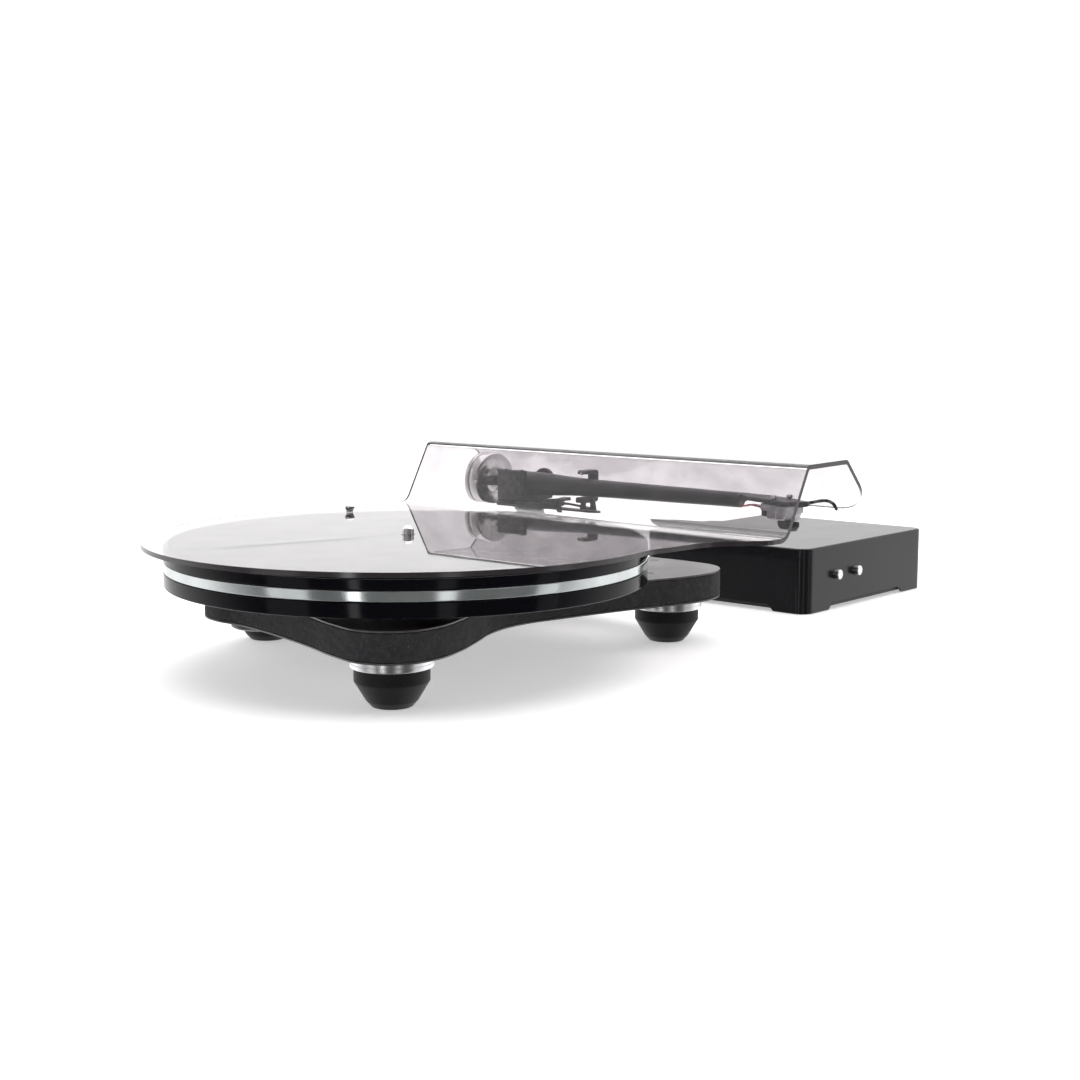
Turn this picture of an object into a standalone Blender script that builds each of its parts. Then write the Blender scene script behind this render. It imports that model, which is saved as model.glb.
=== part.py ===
"""Skeletal belt-drive turntable with a folded dust cover and a separate power box.

Every place below is given in the deck's own frame: its origin is on the floor under the
spindle, +X points to the tonearm side, -Y to the front and +Z up. The empty "deck" carries
that frame to the middle of the whole object's footprint. Units are metres.
"""
import math

import bmesh
import bpy
from mathutils import Vector

# ---- driving dimensions -------------------------------------------------------------
GAP = 0.0003                     # clearance between pieces that touch
ROUND_STEPS = 24                 # facets of a turned piece, where it needs no more

FOOT_PLACES = {"front_left": (-0.0945, -0.083), "front_right": (0.163, -0.081),
               "rear": (-0.011, 0.125)}
RUBBER_TOP = 0.0223
RING_RADIUS = 0.0233
PLINTH_BOTTOM = 0.0282
SKIN = 0.0012                    # laminate on both faces of the foam core
PLINTH_TOP = 0.0470
BRACE = 0.0018

SPINDLE_RADIUS = 0.0036
SPINDLE_TIP = 0.0858
BEARING_RADIUS = 0.0150
BEARING_BORE = 0.0061
PLATTER_RADIUS = 0.1500
PLATTER_RING_BORE = 0.1050
PLATTER_LEVELS = {"platter_lower_glass": (0.0528, 0.0617), "platter_middle_glass": (0.0620, 0.0680),
                  "platter_top_glass": (0.0683, 0.0745), "platter_mat": (0.0748, 0.0768)}
MAT_RADIUS = 0.1470

MOTOR = (-0.058, 0.072)
MOTOR_RADIUS = 0.0200
PULLEY_FLOOR = 0.0080            # radius at the bottom of a belt groove
SUBPLATTER_FLOOR = 0.0620
GROOVE_DEPTH = 0.0020
GROOVE_HEIGHT = 0.0033
BELT_RADIUS = 0.0013
BELT_LEVELS = (0.0544, 0.0589)
DRIVE_BOTTOM = 0.0518
DRIVE_TOP = 0.0615

PIVOT = (0.206, 0.080)           # the tonearm's upright axis, 221 mm from the spindle
ARM_HEIGHT = 0.0930
PILLAR_RADIUS = 0.0110
SWING_SHAFT = 0.0060
ARM_BASE_BOTTOM = 0.0720
ARM_BASE_PLATE = 0.0034
ARM_BLOCK_TOP = 0.0805
TUBE_FRONT = -0.1120
TUBE_REAR = 0.0970
HEAD_OFFSET = math.radians(21.0)
HEAD_LENGTH = 0.0640
TILT_PIN_RADIUS = 0.0025
TILT_PIN_LENGTH = 0.0332
SCREW_REACH = 0.0450             # cartridge screws, along the headshell
SCREW_SIDE = 0.00635
SCREW_SHANK = 0.0011
CARTRIDGE_REACH = 0.0445
CARTRIDGE_TOP = 0.0012
CARTRIDGE_SIZE = (0.0260, 0.0160, 0.0096)
GUARD_REACH = 0.0520
GUARD_SIZE = (0.0120, 0.0090, 0.0062)
LEAD_RADIUS = 0.0005
FINGER_WIRE = 0.0011
WEIGHT_FRONT = 0.1130
WEIGHT_LENGTH = 0.0140
WEIGHT_RADIUS = 0.0210

COVER_TOP = 0.0801
COVER_SHEET = 0.0030
COVER_RADIUS = 0.1630
FOLD_X = 0.1410
HOOD_FRONT = -0.1875
HOOD_REAR = 0.1465
HOOD_SECTION = [(0.1648, 0.1237), (0.2136, 0.1244), (0.2470, 0.0904)]
HOOD_CORNER = 0.0240
KNOB = (0.0620, 0.1220)

BOX_CORNER = (0.3035, -0.1032)   # the power box's front left corner
BOX_SIZE = (0.180, 0.148, 0.049)
BOX_WALL = 0.0022
BOX_ARCH = 0.0050                # rise of the lower edges between the box's feet
BOX_FOOT_FRONT = 0.0320          # from a corner to the arch, along the front and the sides
BOX_FOOT_SIDE = 0.0300
BOX_ARCH_SHIFT = 0.0040
BUTTON_HOLE = 0.0040
PAD_RADIUS = 0.0090
PAD_INSET = 0.0200
BUTTON_RADIUS = 0.0037
BUTTON_HEIGHT = 0.0265
BUTTON_PLACES = {"power_button": 0.0420, "speed_button": 0.0710}

SHIFT = (-(BOX_CORNER[0] + BOX_SIZE[0] - COVER_RADIUS) / 2, -(HOOD_FRONT + COVER_RADIUS) / 2, 0.0)


# ---- scene and materials ------------------------------------------------------------
for leftover in list(bpy.data.objects):
    bpy.data.objects.remove(leftover, do_unlink=True)

PARTS = bpy.data.collections.new("turntable")
CUTTERS = bpy.data.collections.new("cutters")
bpy.context.scene.collection.children.link(PARTS)
bpy.context.scene.collection.children.link(CUTTERS)


def finish(name, colour, roughness, metallic=0.0, clear=0.0):
    """A Principled material with the piece's colour and surface."""
    made = bpy.data.materials.new(name)
    made.use_nodes = True
    shader = made.node_tree.nodes["Principled BSDF"]
    shader.inputs["Base Color"].default_value = (*colour, 1.0)
    shader.inputs["Roughness"].default_value = roughness
    shader.inputs["Metallic"].default_value = metallic
    shader.inputs["Transmission Weight"].default_value = clear
    return made


CHARCOAL = finish("charcoal foam core", (0.030, 0.028, 0.029), 0.85)
LAMINATE = finish("satin laminate", (0.085, 0.075, 0.078), 0.45)
DARK_METAL = finish("dark anodised metal", (0.055, 0.053, 0.056), 0.40, 0.6)
ALUMINIUM = finish("polished aluminium", (0.86, 0.86, 0.87), 0.16, 1.0)
STEEL = finish("polished steel", (0.70, 0.70, 0.71), 0.18, 1.0)
BRASS = finish("bearing brass", (0.72, 0.53, 0.25), 0.30, 1.0)
RUBBER = finish("black rubber", (0.018, 0.018, 0.019), 0.70)
BLACK_GLASS = finish("black glass", (0.006, 0.006, 0.008), 0.05)
PALE_GLASS = finish("pale green glass", (0.62, 0.72, 0.71), 0.05, 0.0, 0.6)
FELT = finish("dark wool felt", (0.040, 0.038, 0.040), 0.95)
ACRYLIC = finish("smoked acrylic", (0.36, 0.34, 0.35), 0.04, 0.0, 0.9)
ARM_FINISH = finish("satin black arm", (0.035, 0.034, 0.037), 0.38, 0.2)
BOX_BLACK = finish("satin black case", (0.020, 0.020, 0.022), 0.32)
PLASTIC = finish("matt black plastic", (0.025, 0.025, 0.027), 0.60)
GREY_PLASTIC = finish("grey cartridge plastic", (0.30, 0.30, 0.32), 0.35)
BOARD_GREEN = finish("circuit board", (0.02, 0.14, 0.06), 0.55)
COPPER = finish("wound copper", (0.60, 0.28, 0.12), 0.40, 0.8)
LEAD_FINISH = {"red": finish("red lead", (0.55, 0.03, 0.04), 0.5),
               "white": finish("white lead", (0.85, 0.85, 0.84), 0.5),
               "green": finish("green lead", (0.03, 0.30, 0.16), 0.5),
               "blue": finish("blue lead", (0.03, 0.12, 0.45), 0.5)}


# ---- shapes -------------------------------------------------------------------------
def frame_empty(name, place, parent=None):
    """An empty that stands on a joint's axis or carries a group of pieces."""
    empty = bpy.data.objects.new(name, None)
    PARTS.objects.link(empty)
    empty.location = place
    empty.parent = parent
    return empty


DECK = frame_empty("deck", SHIFT)


def place_piece(name, data, material, place, parent, turn=(0.0, 0.0, 0.0)):
    """Link a mesh or curve as a named piece, given by its place in the parent's frame."""
    data.materials.append(material)
    piece = bpy.data.objects.new(name, data)
    PARTS.objects.link(piece)
    piece.parent = parent
    piece.location = place
    piece.rotation_euler = turn
    return piece


def box_mesh(name, size, centre=(0.0, 0.0, 0.0)):
    """A block with its scale already in the mesh."""
    mesh = bpy.data.meshes.new(name)
    block = bmesh.new()
    bmesh.ops.create_cube(block, size=1.0)
    bmesh.ops.scale(block, vec=size, verts=block.verts)
    bmesh.ops.translate(block, vec=centre, verts=block.verts)
    block.to_mesh(mesh)
    block.free()
    return mesh


def round_edges(piece, width, segments=2, angle=30.0):
    bevel = piece.modifiers.new("rounded edges", "BEVEL")
    bevel.width = width
    bevel.segments = segments
    bevel.limit_method = "ANGLE"
    bevel.angle_limit = math.radians(angle)
    return bevel


def block(name, size, place, material, parent=None, edge=0.0):
    """A box piece, centred on its place, with rounded edges where edge is given."""
    piece = place_piece(name, box_mesh(name, size), material, place, parent or DECK)
    if edge:
        round_edges(piece, edge)
    return piece


def turned_mesh(name, profile):
    """The edge chain of a turned piece: (radius, height) points, down the outer side."""
    mesh = bpy.data.meshes.new(name)
    points = [(radius, 0.0, height) for radius, height in profile]
    links = [(i, i + 1) for i in range(len(points) - 1)]
    if profile[0][0] > 0.0:
        links.append((len(points) - 1, 0))
    mesh.from_pydata(points, links, [])
    return mesh


def spin_profile(piece, steps):
    screw = piece.modifiers.new("turned", "SCREW")
    screw.axis = "Z"
    screw.steps = steps
    screw.render_steps = steps
    screw.use_merge_vertices = True
    screw.merge_threshold = 0.00001
    screw.use_smooth_shade = True
    return screw


def turned(name, profile, place, material, parent=None, steps=ROUND_STEPS, turn=(0.0, 0.0, 0.0)):
    """A turned piece; a profile that starts off the axis is a closed ring."""
    piece = place_piece(name, turned_mesh(name, profile), material, place, parent or DECK, turn)
    spin_profile(piece, steps)
    return piece


def drum(radius, length):
    """Profile of a plain cylinder about the middle of its length."""
    return [(0.0, length / 2), (radius, length / 2), (radius, -length / 2), (0.0, -length / 2)]


def circle(centre, radius, steps=ROUND_STEPS):
    """Points of a circle, as one closed outline."""
    return [(centre[0] + radius * math.cos(math.tau * i / steps),
             centre[1] + radius * math.sin(math.tau * i / steps)) for i in range(steps)]


def arc(centre, radius, start, end, steps):
    """Points of an arc between two angles in radians, both ends included."""
    return [(centre[0] + radius * math.cos(start + (end - start) * i / steps),
             centre[1] + radius * math.sin(start + (end - start) * i / steps)) for i in range(steps + 1)]


def flat_curve(name, outlines, thickness, smooth=()):
    """A filled 2D curve: outlines inside another are its holes; smooth ones are Bezier."""
    curve = bpy.data.curves.new(name, "CURVE")
    curve.dimensions = "2D"
    curve.fill_mode = "BOTH"
    curve.extrude = thickness / 2
    for number, outline in enumerate(outlines):
        if number in smooth:
            spline = curve.splines.new("BEZIER")
            spline.bezier_points.add(len(outline) - 1)
            for point, (x, y) in zip(spline.bezier_points, outline):
                point.co = (x, y, 0.0)
                point.handle_left_type = point.handle_right_type = "AUTO"
            spline.resolution_u = 3
        else:
            spline = curve.splines.new("POLY")
            spline.points.add(len(outline) - 1)
            for point, (x, y) in zip(spline.points, outline):
                point.co = (x, y, 0.0, 1.0)
        spline.use_cyclic_u = True
    return curve


def plate(name, outlines, bottom, top, material, parent=None, smooth=()):
    """A flat piece between two heights."""
    curve = flat_curve(name, outlines, top - bottom, smooth)
    return place_piece(name, curve, material, (0.0, 0.0, (bottom + top) / 2), parent or DECK)


def rod(name, points, radius, material, parent=None, cyclic=False, sides=8):
    """A round wire or belt through its points."""
    curve = bpy.data.curves.new(name, "CURVE")
    curve.dimensions = "3D"
    curve.bevel_depth = radius
    curve.bevel_resolution = sides // 4 - 1
    curve.use_fill_caps = not cyclic
    spline = curve.splines.new("POLY")
    spline.points.add(len(points) - 1)
    for point, place_of_point in zip(spline.points, points):
        point.co = (*place_of_point, 1.0)
    spline.use_cyclic_u = cyclic
    return place_piece(name, curve, material, (0.0, 0.0, 0.0), parent or DECK)


def as_mesh(piece):
    """Turn a curve piece into a mesh piece with welded caps, so that it can be cut."""
    bpy.context.view_layer.update()
    evaluated = piece.evaluated_get(bpy.context.evaluated_depsgraph_get())
    mesh = bpy.data.meshes.new_from_object(evaluated)
    welded = bmesh.new()
    welded.from_mesh(mesh)
    bmesh.ops.remove_doubles(welded, verts=welded.verts, dist=0.00001)
    welded.to_mesh(mesh)
    welded.free()
    made = bpy.data.objects.new(piece.name, mesh)
    PARTS.objects.link(made)
    made.parent = piece.parent
    made.matrix_world = piece.matrix_world
    name = piece.name
    bpy.data.objects.remove(piece, do_unlink=True)
    made.name = name
    return made


def tool_of(piece):
    """Move a piece to the cutters: hidden in renders and drawn as wire."""
    for collection in list(piece.users_collection):
        collection.objects.unlink(piece)
    CUTTERS.objects.link(piece)
    piece.hide_render = True
    piece.display_type = "WIRE"
    return piece


def combine(piece, tool, operation):
    boolean = piece.modifiers.new(operation.lower(), "BOOLEAN")
    boolean.operation = operation
    boolean.solver = "EXACT"
    boolean.object = tool_of(tool)
    return piece


def rounded_rectangle(size, radius, centre=(0.0, 0.0), steps=3):
    """Outline of a rectangle with round corners, anticlockwise."""
    outline = []
    for quarter, (sx, sy) in enumerate(((1, 1), (-1, 1), (-1, -1), (1, -1))):
        middle = (centre[0] + sx * (size[0] / 2 - radius), centre[1] + sy * (size[1] / 2 - radius))
        start = quarter * math.pi / 2
        outline += arc(middle, radius, start, start + math.pi / 2, steps)
    return outline


# ---- plinth: foam core, two laminate skins, two braces --------------------------------
PLINTH_OUTLINE = [
    (-0.120, -0.066), (-0.122, -0.088), (-0.110, -0.106), (-0.090, -0.111), (-0.066, -0.106),
    (-0.036, -0.093), (-0.008, -0.080), (0.022, -0.075), (0.060, -0.081), (0.110, -0.093),
    (0.158, -0.107), (0.186, -0.106), (0.205, -0.092), (0.210, -0.070), (0.211, -0.022),
    (0.219, 0.022), (0.235, 0.058), (0.239, 0.085), (0.227, 0.108), (0.203, 0.117),
    (0.165, 0.108), (0.115, 0.092), (0.062, 0.102), (0.026, 0.140), (-0.008, 0.153),
    (-0.040, 0.138), (-0.062, 0.108), (-0.080, 0.101), (-0.091, 0.084), (-0.093, 0.048),
    (-0.108, -0.025)]
RIGHT_WINDOW = [(0.074, -0.056), (0.112, -0.064), (0.146, -0.060), (0.168, -0.040),
                (0.172, 0.000), (0.150, 0.024), (0.112, 0.008), (0.078, -0.014)]
LEFT_WINDOW = [(-0.044, -0.060), (-0.076, -0.050), (-0.082, -0.014), (-0.074, 0.020),
               (-0.050, 0.022), (-0.036, -0.014)]
MOTOR_SOCKET = (-0.026, 0.088)
SOCKET_HOLE = 0.0070


def plinth_layer(name, bottom, top, material, holes):
    """One layer of the sandwich, with the two windows and the round holes it needs."""
    outlines = [PLINTH_OUTLINE, RIGHT_WINDOW, LEFT_WINDOW] + [circle(c, r) for c, r in holes]
    return plate(name, outlines, bottom, top, material, smooth=(0, 1, 2))


def plinth():
    through = [(MOTOR, MOTOR_RADIUS + 0.0006), (PIVOT, PILLAR_RADIUS + GAP)]
    bearing = [((0.0, 0.0), BEARING_RADIUS + GAP)]
    socket = [(MOTOR_SOCKET, SOCKET_HOLE)]
    plinth_layer("plinth_bottom_skin", PLINTH_BOTTOM, PLINTH_BOTTOM + SKIN, LAMINATE, through + socket)
    plinth_layer("plinth_core", PLINTH_BOTTOM + SKIN + GAP, PLINTH_TOP - SKIN - GAP, CHARCOAL,
                 through + bearing + socket)
    plinth_layer("plinth_top_skin", PLINTH_TOP - SKIN, PLINTH_TOP, LAMINATE, through + bearing)


def brace_outline(hub, end):
    """A bar from the main bearing to the tonearm, round at both ends and waisted between."""
    heading = math.atan2(PIVOT[1], PIVOT[0])
    reach = math.hypot(*PIVOT)
    waist = 0.0130
    local = arc((0.0, 0.0), hub, math.radians(40), math.radians(320), 12)
    local += [(reach * 0.35, -waist), (reach * 0.65, -waist)]
    local += arc((reach, 0.0), end, math.radians(-140), math.radians(140), 12)
    local += [(reach * 0.65, waist), (reach * 0.35, waist)]
    return [(x * math.cos(heading) - y * math.sin(heading), x * math.sin(heading) + y * math.cos(heading))
            for x, y in local]


def braces():
    outline = brace_outline(0.0250, 0.0230)
    arm_hole = circle(PIVOT, PILLAR_RADIUS + GAP)
    bottom = PLINTH_TOP + GAP
    plate("top_brace", [outline, circle((0.0, 0.0), BEARING_RADIUS + GAP), arm_hole],
          bottom, bottom + BRACE, DARK_METAL)
    top = PLINTH_BOTTOM - GAP
    plate("bottom_brace", [brace_outline(0.0200, 0.0230), arm_hole], top - BRACE, top, DARK_METAL)


def feet():
    rubber = [(0.0, RUBBER_TOP), (0.0213, RUBBER_TOP), (0.0213, 0.0180), (0.0200, 0.0125),
              (0.0147, 0.0038), (0.0116, 0.0005), (0.0108, 0.0), (0.0, 0.0)]
    low = RUBBER_TOP + GAP
    high = PLINTH_BOTTOM - GAP
    chamfer = 0.0004
    ring = [(0.0, high), (RING_RADIUS - chamfer, high), (RING_RADIUS, high - chamfer),
            (RING_RADIUS, low + chamfer), (RING_RADIUS - chamfer, low), (0.0, low)]
    for corner, (x, y) in FOOT_PLACES.items():
        turned(f"foot_rubber_{corner}", rubber, (x, y, 0.0), RUBBER, steps=24)
        turned(f"foot_ring_{corner}", ring, (x, y, 0.0), ALUMINIUM, steps=24)


# ---- main bearing and platter ---------------------------------------------------------
def main_bearing():
    flange = 0.0220
    seat = PLINTH_TOP + GAP + BRACE + GAP
    top = seat + 0.0020
    floor = 0.0335
    housing = [(0.0, floor), (BEARING_BORE, floor), (BEARING_BORE, top), (flange, top), (flange, seat),
               (BEARING_RADIUS, seat), (BEARING_RADIUS, 0.0299), (0.0, 0.0299)]
    turned("main_bearing_housing", housing, (0.0, 0.0, 0.0), BRASS, steps=24)
    ball = 0.0030
    mesh = bpy.data.meshes.new("bearing_thrust_ball")
    sphere = bmesh.new()
    bmesh.ops.create_uvsphere(sphere, u_segments=12, v_segments=8, radius=ball)
    sphere.to_mesh(mesh)
    sphere.free()
    place_piece("bearing_thrust_ball", mesh, STEEL, (0.0, 0.0, floor + GAP + ball), DECK)


def grooved_profile(floor, bore):
    """Turned drum with a square groove for each belt, from its top face down."""
    rim = floor + GROOVE_DEPTH
    profile = [(bore, DRIVE_TOP), (rim, DRIVE_TOP)]
    for level in reversed(BELT_LEVELS):
        upper = level + GROOVE_HEIGHT / 2
        lower = level - GROOVE_HEIGHT / 2
        profile += [(rim, upper), (floor, upper), (floor, lower), (rim, lower)]
    return profile + [(rim, DRIVE_BOTTOM), (bore, DRIVE_BOTTOM)]


def platter(axis):
    shaft = BEARING_BORE - 0.0001
    shoulder = DRIVE_BOTTOM - GAP
    spindle = [(0.0, SPINDLE_TIP), (0.0022, SPINDLE_TIP - 0.0004), (SPINDLE_RADIUS, SPINDLE_TIP - 0.0020),
               (SPINDLE_RADIUS, shoulder), (shaft, shoulder), (shaft, 0.0401), (0.0, 0.0401)]
    turned("spindle", spindle, (0.0, 0.0, 0.0), STEEL, axis, steps=24)
    hole = SPINDLE_RADIUS + GAP
    turned("sub_platter", grooved_profile(SUBPLATTER_FLOOR, hole), (0.0, 0.0, 0.0), ALUMINIUM, axis, 40)
    for name, (low, high) in PLATTER_LEVELS.items():
        bore = PLATTER_RING_BORE if name == "platter_lower_glass" else hole
        radius = MAT_RADIUS if name == "platter_mat" else PLATTER_RADIUS
        layer = [(bore, high), (radius, high), (radius, low), (bore, low)]
        glass = PALE_GLASS if name == "platter_middle_glass" else BLACK_GLASS
        turned(name, layer, (0.0, 0.0, 0.0), FELT if name == "platter_mat" else glass, axis, 64)


# ---- motor, pulley and belts ----------------------------------------------------------
def motor():
    top = 0.0496
    shaft_hole = 0.0022
    floor = 0.0450
    body = [(0.0, floor), (shaft_hole, floor), (shaft_hole, top), (0.0185, top), (MOTOR_RADIUS, top - 0.0015),
            (MOTOR_RADIUS, 0.0215), (0.0180, 0.0200), (0.0, 0.0200)]
    turned("motor_body", body, (*MOTOR, 0.0), DARK_METAL, steps=24)
    low = PLINTH_TOP + GAP
    collar = [(MOTOR_RADIUS + GAP, low + 0.0020), (0.0265, low + 0.0020), (0.0265, low),
              (MOTOR_RADIUS + GAP, low)]
    turned("motor_mount_ring", collar, (*MOTOR, 0.0), RUBBER, steps=24)
    flange = PLINTH_BOTTOM - GAP
    socket = [(0.0, 0.0400), (0.0066, 0.0400), (0.0066, flange), (0.0090, flange), (0.0090, flange - 0.0016),
              (0.0040, flange - 0.0016), (0.0040, 0.0370), (0.0, 0.0370)]
    turned("motor_socket", socket, (*MOTOR_SOCKET, 0.0), PLASTIC, steps=20)


def motor_pulley(axis):
    shaft = 0.0020
    rim = PULLEY_FLOOR + GROOVE_DEPTH
    profile = [(0.0, DRIVE_TOP), (rim, DRIVE_TOP)] + grooved_profile(PULLEY_FLOOR, shaft)[2:]
    profile += [(shaft, 0.0454), (0.0, 0.0454)]
    turned("motor_pulley", profile, (0.0, 0.0, 0.0), ALUMINIUM, axis, steps=20)


def belt_path(level):
    """Two arcs joined by the straight outer tangents of sub-platter and pulley."""
    large = SUBPLATTER_FLOOR + GAP + BELT_RADIUS
    small = PULLEY_FLOOR + GAP + BELT_RADIUS
    span = math.hypot(*MOTOR)
    heading = math.atan2(MOTOR[1], MOTOR[0])
    spread = math.acos((large - small) / span)
    path = arc((0.0, 0.0), large, heading + spread, heading + math.tau - spread, 32)
    path += arc(MOTOR, small, heading - spread, heading + spread, 8)
    return [(x, y, level) for x, y in path]


def belts():
    for name, level in zip(("drive_belt_lower", "drive_belt_upper"), BELT_LEVELS):
        rod(name, belt_path(level), BELT_RADIUS, RUBBER, cyclic=True)


# ---- tonearm: fixed base ----------------------------------------------------------------
REST_Y = 0.025
LIFT_PLACE = (PIVOT[0], 0.050)
LEVER_PIVOT = (0.2230, 0.0620, 0.0775)


def tonearm_base():
    bore = SWING_SHAFT + 0.0001
    top = ARM_BASE_BOTTOM - GAP
    pillar = [(0.0, 0.0560), (bore, 0.0560), (bore, top), (PILLAR_RADIUS, top), (PILLAR_RADIUS, 0.0200),
              (0.0, 0.0200)]
    turned("arm_pillar", pillar, (*PIVOT, 0.0), STEEL, steps=24)
    seat = PLINTH_TOP + GAP + BRACE + GAP
    flange = [(PILLAR_RADIUS + GAP, seat + 0.0040), (0.0190, seat + 0.0040), (0.0210, seat + 0.0030),
              (0.0210, seat), (PILLAR_RADIUS + GAP, seat)]
    turned("arm_mount_flange", flange, (*PIVOT, 0.0), DARK_METAL, steps=24)
    nut_top = PLINTH_BOTTOM - GAP - BRACE - GAP
    nut = [circle(PIVOT, 0.0160, 6), circle(PIVOT, PILLAR_RADIUS + GAP)]
    plate("arm_pillar_nut", nut, nut_top - 0.0048, nut_top, STEEL)
    shaft_hole = circle(PIVOT, SWING_SHAFT + GAP, 24)
    lift_hole = circle(LIFT_PLACE, 0.0023, 16)
    tongue = [(0.192, 0.100), (0.192, 0.060), (0.198, 0.052), (0.199, 0.016), (0.203, 0.013),
              (0.209, 0.013), (0.213, 0.016), (0.214, 0.052), (0.220, 0.060), (0.220, 0.100),
              (0.214, 0.104), (0.198, 0.104)]
    plate("arm_base_plate", [tongue, shaft_hole, lift_hole], ARM_BASE_BOTTOM,
          ARM_BASE_BOTTOM + ARM_BASE_PLATE, ARM_FINISH)
    outline = rounded_rectangle((0.028, 0.044), 0.005, (0.206, 0.079))
    plate("arm_base_block", [outline, shaft_hole], ARM_BASE_BOTTOM + ARM_BASE_PLATE + GAP,
          ARM_BLOCK_TOP, ARM_FINISH)


def arm_rest():
    """Post with two legs and a hook that is open towards the platter."""
    foot = ARM_BASE_BOTTOM + ARM_BASE_PLATE + GAP
    seat = ARM_HEIGHT - 0.0072
    inside = 0.2140
    outside = 0.2175
    hook = ARM_HEIGHT + 0.0098
    section = [(0.2000, foot), (0.2125, foot), (outside, seat - 0.004), (outside, hook + 0.0012),
               (outside - 0.0015, hook + 0.0027), (0.2035, hook + 0.0027), (0.2020, hook + 0.0015),
               (0.2020, hook), (inside, hook), (inside, seat + 0.002), (inside - 0.002, seat),
               (0.2000, seat)]
    curve = flat_curve("arm_rest_post", [section], 0.0140)
    post = as_mesh(place_piece("arm_rest_post", curve, ARM_FINISH, (0.0, REST_Y, 0.0), DECK,
                               (math.pi / 2, 0.0, 0.0)))
    slot = box_mesh("rest slot", (0.030, 0.0032, seat - foot - 0.0050))
    middle = (0.206, REST_Y, foot + (seat - foot - 0.0050) / 2 + 0.0008)
    return combine(post, place_piece("rest slot", slot, ARM_FINISH, middle, DECK), "DIFFERENCE")


def lift_parts(lift, lever, slider):
    """The lift platform on its plunger, the cue lever and the bias slider."""
    top = 0.0836
    bar = box_mesh("lift_platform", (0.0220, 0.0080, 0.0024), (0.0, 0.0, top - 0.0012))
    platform = place_piece("lift_platform", bar, ARM_FINISH, (0.0, 0.0, 0.0), lift)
    plunger = turned("lift plunger", [(0.0, top - 0.0010), (0.0020, top - 0.0010), (0.0020, 0.0660),
                                      (0.0, 0.0660)], (0.0, 0.0, 0.0), STEEL, lift, 16)
    combine(platform, plunger, "UNION")
    barrel = [(0.0, 0.0019), (0.0024, 0.0019), (0.0024, -0.0019), (0.0, -0.0019)]
    turned_lever = turned("cue_lever", barrel, (0.0, 0.0, 0.0), DARK_METAL, lever, 16,
                          (0.0, math.pi / 2, 0.0))
    handle = rod("lever handle", [(0.0, -0.0010, 0.0), (0.0, -0.0150, -0.0006), (0.0, -0.0300, -0.0022)],
                 0.0011, DARK_METAL, lever)
    combine(turned_lever, as_mesh(handle), "UNION")
    tab = place_piece("bias_slider", box_mesh("bias_slider", (0.0036, 0.0070, 0.0036)), PLASTIC,
                      (0.0, 0.0, 0.0), slider)
    round_edges(tab, 0.0006)


# ---- tonearm: moving pieces ---------------------------------------------------------------
def yoke(axis):
    """U-shaped carrier on the upright shaft; its cheeks hold the tilt pin."""
    low = ARM_BLOCK_TOP + GAP
    floor = low + 0.0024
    top = ARM_HEIGHT + 0.0105
    inner = 0.0125
    outer = 0.0170
    soft = 0.0030
    section = [(-outer, low), (outer, low), (outer, top - soft), (outer - soft / 2, top), (inner, top),
               (inner, floor), (-inner, floor), (-inner, top), (-outer + soft / 2, top), (-outer, top - soft)]
    curve = flat_curve("bearing_yoke", [section], 0.0320)
    carrier = as_mesh(place_piece("bearing_yoke", curve, ARM_FINISH, (0.0, 0.0, 0.0), axis,
                                  (math.pi / 2, 0.0, 0.0)))
    shaft = [(0.0, low + 0.0010), (SWING_SHAFT, low + 0.0010), (SWING_SHAFT, 0.0565), (0.0, 0.0565)]
    combine(carrier, turned("swing shaft", shaft, (0.0, 0.0, 0.0), STEEL, axis, 24), "UNION")
    pin_hole = turned("pin hole", [(0.0, 0.02), (0.0026, 0.02), (0.0026, -0.02), (0.0, -0.02)],
                      (0.0, 0.0, ARM_HEIGHT), STEEL, axis, 20, (0.0, math.pi / 2, 0.0))
    combine(carrier, pin_hole, "DIFFERENCE")


def tracking_dial(axis):
    rim = 0.0095
    dial = [(0.0, 0.0046), (rim - 0.0008, 0.0046), (rim, 0.0038), (rim, 0.0), (0.0, 0.0)]
    turned("tracking_force_dial", dial, (0.0, 0.0, 0.0), ARM_FINISH, axis, 28, (0.0, math.pi / 2, 0.0))


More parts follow.
